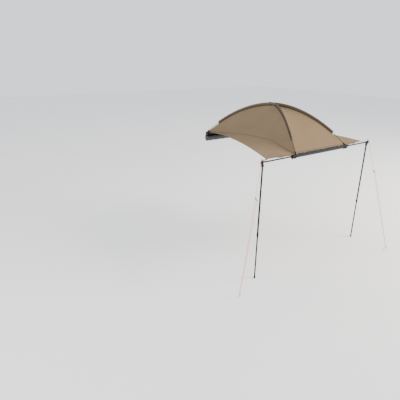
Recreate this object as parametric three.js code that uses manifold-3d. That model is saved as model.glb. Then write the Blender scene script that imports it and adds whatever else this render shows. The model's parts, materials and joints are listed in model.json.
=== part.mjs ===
// A dome-topped side awning, pitched: two rails, two crossed dome poles, a sewn canopy with
// two wings, two sliding arms, two folding telescopic legs, and a guy rope to each corner.
// Millimetres, +Z up. The origin is the middle of the vehicle rail's back face. +Y points to
// the vehicle, the awning reaches out along -Y, and +X runs along the rails.
import * as THREE from 'three';
import { mergeVertices } from 'three/addons/utils/BufferGeometryUtils.js';
import Module from 'manifold-3d';

const wasm = await Module();
wasm.setup();

// Overall sizes
const frameWidth = 2585;
const reach = 2220;
const standHeight = 1875;
const railLength = 1300;
const domeRise = 614;

// Clearances
const seatGap = 0.3;
const runGap = 0.4;
const overrun = 4;

// Rail extrusion, used at the vehicle and at the front
const railDepth = 40;
const railHeight = 50;
const railCorner = 3;
const slotMouthRoom = 0.5;
const slotLip = 1.8;
const slotRoom = 0.8;
const trackMouth = 3.4;
const trackRadius = 4.2;
const trackLip = 2;
const faceGrooveHeight = 6;
const faceGrooveDepth = 1.2;
const faceGrooveLevel = 5;

// Canopy cloth and its beads in the rail tracks
const clothThickness = 3;
const edgeRise = 8;
const beadRadius = 3.6;
const beadFlap = 2;
const beadEndGap = 2;
const seamGap = 0.6;
const seamBulge = 25;
const seamArch = 118;
const seamFrontShare = 0.26;
const seamVehicleShare = 0.6;
const panelDip = 42;
const wingDip = 25;
const wingEdgeCut = 20;
const wingEdgeArch = 65;
const wingCornerOut = 25;
const wingTipIn = 122;
const wingTipBack = 40;
const cornerCutShare = 0.07;
const seamPull = 17;
const sideSteps = 10;

// Dome poles, their sleeves and their sockets
const poleRadius = 4.75;
const poleFootRise = 17;
const poleStackGap = 1.1;
const poleSteps = 28;
const archPowerShare = 1.95;
const ridgeRoom = 16.5;
const finAtCrossing = 42;
const finAtEnd = 26;
const finHalf = 1.8;
const sleeveWall = 2.2;
// Where the tunnel's outline has its corners, as shares of half a turn up from its side
const sleeveTurnShares = [0, 0.2, 0.4];
const sleeveBase = 22;
const sleeveBaseLift = 1.5;
const sleeveGap = 1.2;
const sleeveStartShare = 0.022;
const sleeveEndShare = 0.83;
const clipRadius = 20;
const clipWall = 3.45;
const collarWall = 3;
const socketLength = 40;
const socketGap = 3;
const cupWall = 4.25;
const cupLength = 30;
const cupRoot = 14;
const cupFloor = 2;
const pedestalRadius = 11;

// Mounting brackets and their bolts
const bracketInset = 270;
const bracketWidth = 60;
const bracketPlate = 5;
const bracketFoot = 75;
const bracketBend = 4;
const bracketSlotRadius = 4.4;
const bracketSlotLength = 26;
const boltPitch = 34;
const boltRadius = 3.9;
const boltHoleRoom = 0.6;
const boltHeadDepth = 3.2;
const boltHeadLength = 16;
const boltHeadWidth = 14;
const nutRadius = 7.5;
const nutHeight = 6.5;
const boltStub = 3;

// End caps of the vehicle rail
const capPlate = 3;
const capSpigot = 20;

// Storage bag under the vehicle rail
const bagOverhang = 15;
const bagWall = 2.5;
const bagFlangeInset = 25;
const bagFlangeDepth = 32;
const bagFlangeEdge = 2;
const bagClearance = 1.7;
const bagDepth = 112;
const bagFront = 72;
// The wall's middle line: down the back, round the floor and up to the lip, as shares of the
// way to the front and of the depth
const bagLineShares = [
  [0, 1], [-0.07, 0.64], [0, 0.28], [0.302, 0.03],
  [0.682, 0], [0.95, 0.25], [1, 0.58], [0.908, 0.8],
];

// Sliding arms and the mouldings that they run through
const armRadius = 11;
const tubeWall = 1.5;
const armInside = 60;
const guideOnRail = 22;
const guideBeyond = 24;

// Clamp knobs
const knobRadius = 12;
const knobLobes = 6;
const knobLobeRadius = 3.4;
const knobHeight = 11;
const knobNeck = 3;
const knobStemRadius = 3;
const knobNeckRadius = 6;
const knobClearance = 3.7;

// Corner fittings
const cornerSize = 36;
const cornerRound = 7;
const cornerBelow = 24;
const cornerAbove = 16;
const cornerBevel = 1.5;
const plugLength = 46;
const forkCheek = 6;
const forkHalfWidth = 14;
const forkRoof = 16;
const postRadius = 5;
const postShoulder = 8;
const postShoulderRise = 0.4;
const postCapRadius = 9;
const postCapHeight = 4;
const postHeight = 46;

// Folding telescopic legs
const legRadius = 12.5;
const legSlideGap = 0.5;
const legSide = 15.5;
const foldGap = 2.5;
const legUpperEnd = 1065;
const legOverlap = 120;
const eyeRadius = 12;
const eyeThickness = 14;
const eyeGap = 0.5;
const neckWidth = 16;
const headShoulderTop = 18;
const headShoulder = 8;
const headSpigot = 34;
const pinRadius = 4;
const pinHeadRadius = 7;
const pinHead = 3;
const lockWall = 1.9;
const lockSwell = 1.1;
const lockAbove = 25;
const lockBelow = 25;
const lockRibs = 6;
const lockRib = 1;
const lockRibWidth = 3;
const footWall = 1.9;
const footFlare = 1.6;
const footHeight = 31;
const footSole = 5.4;
const footEdge = 3;

// Tip straps
const strapWidth = 22;
const strapThickness = 2;
const strapOverlap = 18;

// Guy ropes, runners and pegs
const ropeRadius = 2.25;
const knotRadius = 6;
const endKnotRadius = 5;
const knotPlace = 26;
const knotDrop = 2.45;
const runnerWidth = 14;
const runnerThickness = 5;
const runnerHoleRoom = 0.75;
const runnerEnd = 10;
const pegRadius = 3;
const pegRoom = 0.8;
const pegHook = 11;
const pegRise = 75;
const pegLean = 45;
const pegBuried = 95;
const pegTailOut = 9;
const pegTailDrop = 52;
const pegTip = 12;

// Sizes that follow from those above

// Rail, arms and the bolts in the rail's slots
const railHalf = railLength / 2;
const boreRadius = armRadius + runGap;
const armInnerEnd = railHalf - armInside;
const slotMouth = 2 * (boltRadius + slotMouthRoom);
const slotWidth = boltHeadWidth + slotRoom;
const slotDepth = boltHeadDepth + slotRoom;
const boltHole = boltRadius + boltHoleRoom;
const bracketX = railHalf - bracketInset;

// What clamps round a rail, and the knobs below it
const collarDepth = railDepth + 2 * (seatGap + collarWall);
const collarHeight = railHeight + 2 * (seatGap + collarWall);
const guideKnobPlace = guideBeyond / 2;
const knobReach = seatGap + knobNeck + knobHeight + knobClearance;

// Poles and sockets
const poleFootX = railHalf - guideOnRail - socketGap - socketLength / 2;
const poleFootLevel = railHeight / 2 + poleFootRise;
const poleStack = 2 * poleRadius + poleStackGap;
const clipHeight = poleStack + 2 * (poleRadius + clipWall);
const cupRadius = poleRadius + cupWall;
const domeCentreY = -(railDepth / 2 + reach) / 2;
const domeHalfLength = (reach - railDepth / 2) / 2;
const poleSpan = Math.hypot(poleFootX, domeHalfLength);
const apexRing = new THREE.Vector3(0, domeCentreY, 0);

// Bag, between the sockets and below their collars
const betweenSockets = 2 * poleFootX - socketLength;
const beadLength = betweenSockets - 2 * beadEndGap;
const bagLength = railLength + 2 * bagOverhang;
const bagFlangeLength = betweenSockets - 2 * bagFlangeInset;
const bagStartY = bagFlangeDepth / 2 - bagFlangeEdge;
const bagTop = collarHeight / 2 + bagClearance;

// Corners, straps and the wings' tips
const cornerX = frameWidth / 2;
const armOuterEnd = cornerX - cornerSize / 2 - seatGap;
const strapLevel = cornerAbove + postShoulderRise + seatGap;
const wingTipLevel = strapLevel + strapThickness + seatGap + clothThickness / 2;
const wingCornerX = poleFootX + wingCornerOut;
const edgeLevel = railHeight / 2 + edgeRise;
const loopLevel = postHeight - postCapHeight - seatGap - ropeRadius;
const knotLevel = loopLevel - knotDrop;
const runnerHole = ropeRadius + runnerHoleRoom;

// Legs
const legDrop = collarHeight / 2 + knobReach + foldGap + legRadius;
const legLength = standHeight - legDrop;
const legLowerRadius = legRadius - tubeWall - legSlideGap;
const lockTopRadius = legRadius + lockWall;
const lockRadius = lockTopRadius + lockSwell;
const footTopRadius = legLowerRadius + footWall;
const footRadius = footTopRadius + footFlare;

// Rope routes, in part coordinates: down from the corner's knot, through the runner, round the
// peg's hook and up again to the stopper knot behind the runner
const ropeRoutes = {
  left: [
    [-1317.6, -2232.2, 30.9], [-1350.4, -2248.9, -96.1], [-1383.2, -2265.5, -223.1], [-1415.9, -2282.2, -350],
    [-1448.7, -2298.8, -477], [-1510, -2331, -697], [-1591, -2374, -985], [-1672, -2416, -1273],
    [-1753, -2458, -1561], [-1807, -2470.7, -1772], [-1813.6, -2473, -1797], [-1817.3, -2478.8, -1808.4],
    [-1819.4, -2486.3, -1810], [-1820, -2493, -1808.4], [-1818.4, -2496.9, -1796], [-1811, -2494.4, -1771],
    [-1750, -2467, -1557], [-1668, -2430, -1269], [-1585, -2393, -978], [-1502, -2356, -687],
    [-1451.3, -2333.3, -508.6], [-1447.5, -2331.6, -495.2],
  ],
  right: [
    [1293, -2248.1, 31], [1293.7, -2291.6, -96.1], [1294.5, -2335, -223.2], [1295.2, -2378.5, -350.3],
    [1295.9, -2422, -477.4], [1296.4, -2500, -690], [1297, -2602, -971], [1297.6, -2704, -1252],
    [1298.2, -2806, -1533], [1295, -2891, -1768.6], [1294, -2902.8, -1797], [1297.4, -2907.2, -1808],
    [1304, -2908.4, -1809.6], [1310.6, -2907.2, -1808], [1314, -2902.8, -1797], [1314.3, -2891, -1768.6],
    [1317, -2804, -1529], [1320.4, -2702, -1247], [1324, -2600, -966], [1327.4, -2498, -685],
    [1329.8, -2436.3, -517.2], [1330, -2431.5, -504],
  ],
};

// Finishes
function finish(color, roughness, metalness = 0) {
  return () => new THREE.MeshStandardMaterial({ color, roughness, metalness });
}
const anodised = finish(0x4a4e54, 0.45, 0.85);
const blackPlastic = finish(0x1c1c1e, 0.55);
const greyPlastic = finish(0x8f8c88, 0.5);
const zincSteel = finish(0xb4b7ba, 0.35, 0.9);
const blackSteel = finish(0x2a2b2d, 0.5, 0.7);
const glassFibre = finish(0x2b2826, 0.4);
const tanCloth = finish(0x9c8468, 0.9);
const sleeveCloth = finish(0x5b4c40, 0.9);
const bagCloth = finish(0x232426, 0.7);
const webbing = finish(0x303336, 0.85);
const orangeRope = finish(0xf07a3c, 0.8);
const rubber = finish(0x202020, 0.9);

// Welds a geometry's corners together and drops the empty triangles on a turning axis
function weld(geometry) {
  const bare = geometry.clone();
  bare.deleteAttribute('uv');
  bare.deleteAttribute('normal');
  const welded = mergeVertices(bare);
  const index = welded.index.array;
  const kept = [];
  for (let i = 0; i < index.length; i += 3) {
    const [a, b, c] = [index[i], index[i + 1], index[i + 2]];
    if (a !== b && b !== c && c !== a) {
      kept.push(a, b, c);
    }
  }
  welded.setIndex(kept);
  return welded;
}

function toSolid(geometry) {
  const welded = weld(geometry);
  const vertProperties = new Float32Array(welded.attributes.position.array);
  const triVerts = new Uint32Array(welded.index.array);
  return new wasm.Manifold(new wasm.Mesh({ numProp: 3, vertProperties, triVerts }));
}

function toGeometry(solid) {
  const mesh = solid.getMesh();
  const geometry = new THREE.BufferGeometry();
  geometry.setAttribute('position', new THREE.BufferAttribute(mesh.vertProperties, 3));
  geometry.setIndex(new THREE.BufferAttribute(mesh.triVerts, 1));
  const faceted = geometry.toNonIndexed();
  faceted.computeVertexNormals();
  return faceted;
}

function join(...geometries) {
  return toGeometry(geometries.map(toSolid).reduce((all, next) => all.add(next)));
}

function cut(base, ...tools) {
  return toGeometry(tools.map(toSolid).reduce((left, tool) => left.subtract(tool), toSolid(base)));
}

// A round bar or tool between two points
function bar(from, to, radius, sides = 16) {
  const start = new THREE.Vector3(...from);
  const end = new THREE.Vector3(...to);
  const way = end.clone().sub(start);
  const geometry = new THREE.CylinderGeometry(radius, radius, way.length(), sides);
  const turn = new THREE.Quaternion().setFromUnitVectors(new THREE.Vector3(0, 1, 0), way.normalize());
  return geometry.applyQuaternion(turn).translate(...start.add(end).multiplyScalar(0.5).toArray());
}

function block(size, centre) {
  return new THREE.BoxGeometry(...size).translate(...centre);
}

function roundedRect(width, height, corner) {
  const [x, y] = [width / 2 - corner, height / 2 - corner];
  const shape = new THREE.Shape();
  shape.absarc(x, y, corner, 0, Math.PI / 2);
  shape.absarc(-x, y, corner, Math.PI / 2, Math.PI);
  shape.absarc(-x, -y, corner, Math.PI, 1.5 * Math.PI);
  shape.absarc(x, -y, corner, 1.5 * Math.PI, 2 * Math.PI);
  shape.closePath();
  return shape;
}

function disc(radius) {
  const shape = new THREE.Shape();
  shape.absarc(0, 0, radius, 0, 2 * Math.PI);
  return shape;
}

// An outline pushed along one axis, centred on it. Along X the outline lies in Y and Z, along
// Y in X and Z, and along Z in X and Y.
function extruded(shape, length, axis, curveSegments = 2) {
  const options = { depth: length, bevelEnabled: false, curveSegments };
  const geometry = new THREE.ExtrudeGeometry(shape, options).translate(0, 0, -length / 2);
  const x = new THREE.Vector3(1, 0, 0);
  const y = new THREE.Vector3(0, 1, 0);
  const z = new THREE.Vector3(0, 0, 1);
  const frames = { x: [y, z, x], y: [x, z, y.clone().negate()], z: [x, y, z] };
  return geometry.applyMatrix4(new THREE.Matrix4().makeBasis(...frames[axis]));
}

// A tube between two heights, open at both ends
function tube(outer, inner, low, high, sides = 20) {
  const profile = [[inner, low], [outer, low], [outer, high], [inner, high], [inner, low]];
  return turned(profile, sides);
}

// A profile of radius and height, turned round Z
function turned(profile, sides = 20) {
  const points = profile.map(([radius, height]) => new THREE.Vector2(radius, height));
  return new THREE.LatheGeometry(points, sides).rotateX(Math.PI / 2);
}

function part(name, geometry, material) {
  const mesh = new THREE.Mesh(geometry, material());
  mesh.name = name;
  return mesh;
}

function group(x, y, z, ...children) {
  const made = new THREE.Group();
  made.position.set(x, y, z);
  for (const child of children) {
    made.add(child);
  }
  return made;
}

const sideName = (side) => (side < 0 ? 'left' : 'right');
const smooth = (t) => t * t * (3 - 2 * t);

// Rails

// A slot for T-headed bolts: a narrow mouth and a wider room behind it, cut inwards along -Z
function slotTool(length) {
  const mouth = block([length, slotMouth, slotLip + overrun], [0, 0, (overrun - slotLip) / 2]);
  const room = block([length, slotWidth, slotDepth], [0, 0, -slotLip - slotDepth / 2]);
  return join(mouth, room);
}

function trackTool(length) {
  const deep = trackLip + trackRadius;
  const mouth = block([length, trackMouth, deep + overrun], [0, 0, (overrun - deep) / 2]);
  const room = extruded(disc(trackRadius), length, 'x', 4).translate(0, 0, -deep);
  return join(mouth, room);
}

function railGeometry() {
  const length = railLength + 2 * overrun;
  const [top, back] = [railHeight / 2, railDepth / 2];
  const bore = extruded(disc(boreRadius), length, 'x', 10);
  const lowSlot = slotTool(length).rotateX(Math.PI).translate(0, 0, -top);
  const backSlot = slotTool(length).rotateX(-Math.PI / 2).translate(0, back, 0);
  const track = trackTool(length).translate(0, 0, top);
  const groove = block([length, 2 * faceGrooveDepth, faceGrooveHeight], [0, -back, faceGrooveLevel]);
  const body = extruded(roundedRect(railDepth, railHeight, railCorner), railLength, 'x');
  return cut(body, bore, lowSlot, backSlot, track, groove);
}

// The bead that holds the cloth in a rail's track, with its flap up to the canopy's edge
function beadGeometry(length) {
  const level = railHeight / 2 - trackLip - trackRadius;
  const flapTop = edgeLevel - clothThickness / 2 - seatGap;
  const bead = extruded(disc(beadRadius), length, 'x', 4).translate(0, 0, level);
  const flap = block([length, beadFlap, flapTop - level], [0, 0, (flapTop + level) / 2]);
  return join(bead, flap);
}

function railCap(side) {
  const plate = extruded(roundedRect(railDepth, railHeight, railCorner), capPlate, 'x');
  plate.translate(side * (seatGap + capPlate / 2), 0, 0);
  const spigot = bar([-side * capSpigot, 0, 0], [side * capPlate, 0, 0], boreRadius - seatGap);
  return part(`vehicle_rail_cap_${sideName(side)}`, join(plate, spigot), blackPlastic);
}

// Mounting brackets

// A bent plate: one leaf bolted to the rail's back, one reaching out over a rack bar
function bracketGeometry() {
  const [low, high] = [-railHeight / 2, railHeight / 2 - railCorner];
  const inside = bracketPlate + bracketBend;
  const shape = new THREE.Shape();
  shape.moveTo(0, high);
  shape.lineTo(0, low + bracketBend);
  shape.absarc(bracketBend, low + bracketBend, bracketBend, Math.PI, 1.5 * Math.PI);
  shape.lineTo(bracketFoot, low);
  shape.lineTo(bracketFoot, low + bracketPlate);
  shape.lineTo(inside, low + bracketPlate);
  shape.absarc(inside, low + inside, bracketBend, 1.5 * Math.PI, Math.PI, true);
  shape.lineTo(bracketPlate, high);
  shape.closePath();
  const body = extruded(shape, bracketWidth, 'x');
  const [slotWide, slotRound] = [2 * bracketSlotRadius, bracketSlotRadius - seatGap];
  const slotShape = roundedRect(slotWide, bracketSlotLength, slotRound);
  const tools = [];
  for (const side of [-1, 1]) {
    const x = side * boltPitch / 2;
    const slot = extruded(slotShape, bracketPlate * 2 + overrun, 'z');
    tools.push(slot.translate(x, (bracketFoot + inside) / 2, low));
    tools.push(bar([x, -overrun, 0], [x, bracketPlate + overrun, 0], boltHole, 16));
  }
  return cut(body, ...tools);
}

// A T-headed bolt in the rail's back slot, with its nut on the bracket. Y is 0 on the rail's face.
function bracketBolt() {
  const headFar = slotLip + seatGap + boltHeadDepth;
  const nutNear = seatGap + bracketPlate + seatGap;
  const headMiddle = boltHeadDepth / 2 - headFar;
  const nutFar = nutNear + nutHeight;
  const head = block([boltHeadLength, boltHeadDepth, boltHeadWidth], [0, headMiddle, 0]);
  const shank = bar([0, headMiddle, 0], [0, nutFar + boltStub, 0], boltRadius, 16);
  const nut = bar([0, nutNear, 0], [0, nutFar, 0], nutRadius, 6);
  return join(head, shank, nut);
}

function bracketSet(side) {
  const name = sideName(side);
  const made = group(side * bracketX, 0, 0);
  const plate = part(`mount_bracket_${name}`, bracketGeometry(), blackSteel);
  plate.position.y = seatGap;
  made.add(plate);
  for (const end of [-1, 1]) {
    const bolt = part(`bracket_bolt_${name}_${end < 0 ? 'a' : 'b'}`, bracketBolt(), zincSteel);
    bolt.position.x = end * boltPitch / 2;
    made.add(bolt);
  }
  return made;
}

// Storage bag

// The middle line of the bag's wall, in Y and Z
function bagLine() {
  const points = bagLineShares.map(([forward, up]) => {
    const y = THREE.MathUtils.lerp(bagStartY, -bagFront, forward);
    return new THREE.Vector3(y, bagDepth * (up - 1) - bagTop, 0);
  });
  const curve = new THREE.CatmullRomCurve3(points);
  return curve.getSpacedPoints(16);
}

function bagGeometry() {
  const line = bagLine();
  const offset = (point, i, way) => {
    const ahead = line[Math.min(i + 1, line.length - 1)];
    const behind = line[Math.max(i - 1, 0)];
    const along = ahead.clone().sub(behind).normalize();
    return new THREE.Vector2(point.x - way * along.y, point.y + way * along.x);
  };
  const outer = line.map((point, i) => offset(point, i, bagWall / 2));
  const inner = line.map((point, i) => offset(point, i, -bagWall / 2));
  const wall = extruded(new THREE.Shape([...outer, ...inner.reverse()]), bagLength, 'x');
  const panel = new THREE.Shape(line.map((point) => new THREE.Vector2(point.x, point.y)));
  const endPlace = (bagLength - bagWall) / 2;
  const ends = [-1, 1].map((side) => {
    return extruded(panel, bagWall, 'x').translate(side * endPlace, 0, 0);
  });
  const flangeTop = -railHeight / 2 - seatGap;
  const flange = block([bagFlangeLength, bagFlangeDepth, bagWall], [0, 0, flangeTop - bagWall / 2]);
  const riserHeight = bagTop + flangeTop + bagWall;
  const riserMiddle = flangeTop - riserHeight / 2;
  const riser = block([bagFlangeLength, bagWall, riserHeight], [0, bagStartY, riserMiddle]);
  return join(wall, ...ends, flange, riser);
}

// Dome poles

// How high a pole's middle stands at a share of the way from the crossing to its foot
function poleLevel(share, lift = 0) {
  return poleFootLevel + (domeRise + lift - poleFootLevel) * (1 - share ** archPowerShare);
}

function poleSlope(share) {
  return (domeRise - poleFootLevel) * archPowerShare * share ** (archPowerShare - 1) / poleSpan;
}

// One pole's middle line in its own upright plane, from foot to foot
class PoleArc extends THREE.Curve {
  constructor(lift) {
    super();
    this.lift = lift;
  }

  getPoint(t) {
    const share = 2 * t - 1;
    return new THREE.Vector3(share * poleSpan, 0, poleLevel(Math.abs(share), this.lift));
  }

  getPointAt(t) {
    return this.getPoint(t);
  }

  getTangentAt(t) {
    return this.getTangent(t);
  }
}

function alongArc(lift, radius, sides) {
  const section = new THREE.Shape();
  for (let i = 0; i < sides; i += 1) {
    const angle = (i + 0.5) * 2 * Math.PI / sides;
    const step = i ? 'lineTo' : 'moveTo';
    section[step](radius * Math.cos(angle), radius * Math.sin(angle));
  }
  section.closePath();
  const arc = new PoleArc(lift);
  return new THREE.ExtrudeGeometry(section, { steps: poleSteps, extrudePath: arc, curveSegments: 1 });
}

// How far the cloth's ridge lies below the pole: the sleeve's room, then down to the rail
function ridgeDrop(share) {
  const inSleeve = ridgeRoom * Math.hypot(1, poleSlope(share));
  const past = Math.max(share - sleeveEndShare, 0) / (1 - sleeveEndShare);
  return THREE.MathUtils.lerp(inSleeve, poleFootLevel - edgeLevel, smooth(past));
}

function ridgeLevel(share) {
  return poleLevel(share) - ridgeDrop(share);
}

// A cloth sleeve over half a pole: a tunnel round the pole, with a fin of doubled cloth above it
function sleeveGeometry(lift) {
  const stations = 11;
  const round = sleeveWall + poleRadius + runGap;
  const shoulders = sleeveTurnShares.map((turn) => turn * Math.PI);
  const rings = [];
  for (let i = 0; i <= stations; i += 1) {
    const share = THREE.MathUtils.lerp(sleeveStartShare, sleeveEndShare, i / stations);
    const base = ridgeLevel(share) + clothThickness / 2 + sleeveGap;
    const lean = Math.atan(poleSlope(share));
    const fin = THREE.MathUtils.lerp(finAtCrossing, finAtEnd, i / stations);
    const outline = shoulders.map((turn) => [round * Math.cos(turn), round * Math.sin(turn)]);
    outline.push([finHalf, fin]);
    const mirrored = outline.map(([aside, up]) => [-aside, up]).reverse();
    const ring = [[share * poleSpan, 0, base]];
    ring.push([share * poleSpan, sleeveBase / 2, base + sleeveBaseLift]);
    for (const [aside, up] of [...outline, ...mirrored]) {
      const level = poleLevel(share, lift) + up * Math.cos(lean);
      ring.push([share * poleSpan + up * Math.sin(lean), aside, level]);
    }
    ring.push([share * poleSpan, -sleeveBase / 2, base + sleeveBaseLift]);
    rings.push(ring);
  }
  return cut(lofted(rings), alongArc(lift, poleRadius + runGap, 10));
}

// A closed skin over rings with the same number of points, its ends closed by fans
function lofted(rings) {
  const count = rings[0].length;
  const points = rings.flat();
  const index = [];
  for (let i = 0; i + 1 < rings.length; i += 1) {
    for (let k = 0; k < count; k += 1) {
      const [a, b] = [i * count + k, i * count + (k + 1) % count];
      index.push(a, b, b + count, a, b + count, a + count);
    }
  }
  const last = (rings.length - 1) * count;
  for (let k = 1; k + 1 < count; k += 1) {
    index.push(0, k + 1, k, last, last + k, last + k + 1);
  }
  const geometry = new THREE.BufferGeometry();
  geometry.setAttribute('position', new THREE.Float32BufferAttribute(points.flat(), 3));
  geometry.setIndex(index);
  return geometry;
}

// The clip where the poles cross: a round block that both of them run through
function clipGeometry() {
  const bevel = clipRadius / 10;
  const half = clipHeight / 2;
  const profile = [
    [0, -half], [clipRadius - bevel, -half], [clipRadius, bevel - half],
    [clipRadius, half - bevel], [clipRadius - bevel, half], [0, half],
  ];
  const body = turned(profile).translate(0, 0, domeRise);
  const [low, high] = [-1, 1].map((way) => {
    const tool = alongArc(way * poleStack / 2, poleRadius + seatGap, 8);
    return tool.rotateZ(Math.atan2(domeHalfLength, way * poleFootX));
  });
  return cut(body, low, high);
}

function domePoles() {
  const made = group(...apexRing.toArray());
  const halves = [
    ['a', -1, [['vehicle_left', Math.PI], ['front_right', 0]]],
    ['b', 1, [['front_left', Math.PI], ['vehicle_right', 0]]],
  ];
  for (const [letter, way, ends] of halves) {
    const lift = way * poleStack / 2;
    const turn = new THREE.Group();
    turn.rotation.z = Math.atan2(way * domeHalfLength, poleFootX);
    turn.add(part(`dome_pole_${letter}`, alongArc(lift, poleRadius, 8), glassFibre));
    for (const [end, angle] of ends) {
      const sleeve = part(`pole_sleeve_${end}`, sleeveGeometry(lift), sleeveCloth);
      sleeve.rotation.z = angle;
      turn.add(sleeve);
    }
    made.add(turn);
  }
  made.add(part('pole_crossing_clip', clipGeometry(), greyPlastic));
  return made;
}

// Pole sockets, clamped round a rail. The side says which end, and facing is 1 where the dome
// lies towards +Y. A cup leans as the last step of its pole does.
function cupLine(side, facing) {
  const lastStep = 2 / poleSteps;
  const slope = (poleLevel(1 - lastStep) - poleFootLevel) / (lastStep * poleSpan);
  const way = new THREE.Vector3(-side * poleFootX, facing * domeHalfLength, slope * poleSpan);
  way.normalize();
  const foot = new THREE.Vector3(0, 0, poleFootLevel);
  return (distance) => foot.clone().addScaledVector(way, distance).toArray();
}

function collarGeometry(length) {
  const corner = railCorner + collarWall;
  return extruded(roundedRect(collarDepth, collarHeight, corner), length, 'x');
}

function railRoom(length) {
  const [depth, height] = [railDepth + 2 * seatGap, railHeight + 2 * seatGap];
  return extruded(roundedRect(depth, height, railCorner), length, 'x');
}

function socketGeometry(side, facing) {
  const at = cupLine(side, facing);
  const bottom = -collarHeight / 2;
  const cup = bar(at(-cupRoot), at(cupLength), cupRadius, 16);
  const pedestal = bar([0, 0, railHeight / 2], [0, 0, poleFootLevel], pedestalRadius, 16);
  const bore = bar(at(-cupFloor), at(cupLength + overrun), poleRadius + runGap, 16);
  const stemHole = bar([0, 0, bottom - overrun], [0, 0, 0], knobStemRadius + runGap, 12);
  const body = join(collarGeometry(socketLength), cup, pedestal);
  const tools = [railRoom(socketLength + 2 * overrun), bore];
  return cut(body, ...tools, ...(facing > 0 ? [stemHole] : []));
}

// Canopy

// A soft step from 0 to 1
function easedTo(share) {
  return THREE.MathUtils.smoothstep(share, 0, 1);
}

// Where a point of the dome's cloth lies. u runs from -1 to 1 along X and v along Y, and the
// poles cross it along the two diagonals.
function domePoint(u, v) {
  const share = Math.max(Math.abs(u), Math.abs(v));
  const across = share > 0 ? Math.min(Math.abs(u), Math.abs(v)) / share : 0;
  const inner = 4 * share * (1 - share);
  const y = domeCentreY + v * domeHalfLength;
  if (Math.abs(v) >= Math.abs(u)) {
    return [u * poleFootX, y, ridgeLevel(share) - panelDip * inner * (1 - across ** 2)];
  }
  const along = (1 - v / share) / 2;
  const arch = easedTo(along / seamVehicleShare) * easedTo((1 - along) / seamFrontShare);
  const dip = panelDip * inner * 2 * along * (1 - along);
  const bulge = seamBulge * share ** 4 * (1 - across ** 2);
  const z = ridgeLevel(share) + seamArch * share ** 4 * arch - dip;
  return [u * poleFootX + Math.sign(u) * bulge, y, z];
}

// Places from -1 to 1 along a side of the dome, in even steps apart from a short one at each end
function spreadOut(place) {
  const last = 1 - 2 / sideSteps;
  const size = Math.abs(place);
  const inside = size * (1 - cornerCutShare) / last;
  const outside = 1 - (1 - size) * cornerCutShare / (1 - last);
  return Math.sign(place) * (size <= last ? inside : outside);
}

// Gives a thin surface that faces up its thickness, with a wall round its edge
function thickened(surface) {
  const sheet = weld(surface);
  const flat = sheet.attributes.position;
  const index = sheet.index.array;
  const count = flat.count;
  const points = [];
  for (const layer of [clothThickness / 2, -clothThickness / 2]) {
    for (let i = 0; i < count; i += 1) {
      points.push(flat.getX(i), flat.getY(i), flat.getZ(i) + layer);
    }
  }
  const faces = [];
  const edges = new Map();
  for (let i = 0; i < index.length; i += 3) {
    const corners = [index[i], index[i + 1], index[i + 2]];
    const [a, b, c] = corners;
    faces.push(a, b, c, a + count, c + count, b + count);
    for (const [from, to] of [[a, b], [b, c], [c, a]]) {
      edges.set(`${from} ${to}`, [from, to]);
    }
  }
  for (const [from, to] of edges.values()) {
    if (!edges.has(`${to} ${from}`)) {
      faces.push(from + count, to + count, to, from + count, to, from);
    }
  }
  const made = new THREE.BufferGeometry();
  made.setAttribute('position', new THREE.Float32BufferAttribute(points, 3));
  made.setIndex(faces);
  return made.toNonIndexed();
}

// A round sheet whose rings become squares, so that its creases lie along the poles. Its corners
// are cut off to clear the pole sockets.
function domeGeometry() {
  const sleeved = 8;
  const open = 3;
  const disc = weld(new THREE.RingGeometry(0, 1, 4 * sideSteps, sleeved + open));
  const place = disc.attributes.position;
  for (let i = 0; i < place.count; i += 1) {
    const [x, y] = [place.getX(i), place.getY(i)];
    const ring = Math.hypot(x, y) * (sleeved + open);
    const inSleeve = sleeveEndShare * ring / sleeved;
    const beyond = THREE.MathUtils.lerp(sleeveEndShare, 1, (ring - sleeved) / open);
    const share = ring <= sleeved ? inSleeve : beyond;
    const turn = Math.atan2(y, x) / (Math.PI / 4);
    const quarter = turn < -2 ? turn + 6 : turn - 2;
    const u = spreadOut(THREE.MathUtils.clamp(2 - Math.abs(turn), -1, 1));
    const v = spreadOut(THREE.MathUtils.clamp(2 - Math.abs(quarter), -1, 1));
    const atCorner = Math.min(Math.abs(u), Math.abs(v)) > 1 - cornerCutShare / 2;
    const kept = atCorner ? share * (1 - cornerCutShare / 2 * share ** 6) : share;
    place.setXYZ(i, ...domePoint(kept * u, kept * v));
  }
  return thickened(disc);
}

// Where a point of a wing lies: a runs from the seam to the free edge, v as on the dome
function wingPoint(side, a, v) {
  const along = (1 - v) / 2;
  const belly = 4 * along * (1 - along);
  const seam = domePoint(1, v);
  const tip = [cornerX - wingTipIn, wingTipBack - reach, wingTipLevel];
  const start = [wingCornerX, -railDepth / 2, edgeLevel];
  const edge = start.map((value, k) => THREE.MathUtils.lerp(value, tip[k], along));
  const [runX, runY] = [tip[0] - start[0], tip[1] - start[1]];
  const run = Math.hypot(runX, runY);
  edge[0] += wingEdgeCut * belly * runY / run;
  edge[1] -= wingEdgeCut * belly * runX / run;
  edge[2] += wingEdgeArch * belly;
  const point = seam.map((value, k) => THREE.MathUtils.lerp(value, edge[k], a));
  point[2] += (edgeLevel - wingTipLevel) * along * a * (1 - a) - wingDip * 4 * a * (1 - a) * belly;
  const pull = Math.abs(v) > 1 - cornerCutShare / 2 ? seamPull : seamGap;
  point[0] = side * (point[0] + pull * (1 - a));
  return point;
}

function wingGeometry(side) {
  const sheet = new THREE.PlaneGeometry(1, 1, 5, sideSteps);
  const place = sheet.attributes.position;
  for (let i = 0; i < place.count; i += 1) {
    const a = 0.5 + side * place.getX(i);
    place.setXYZ(i, ...wingPoint(side, a, spreadOut(2 * place.getY(i))));
  }
  return thickened(sheet);
}

// Knobs

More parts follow.
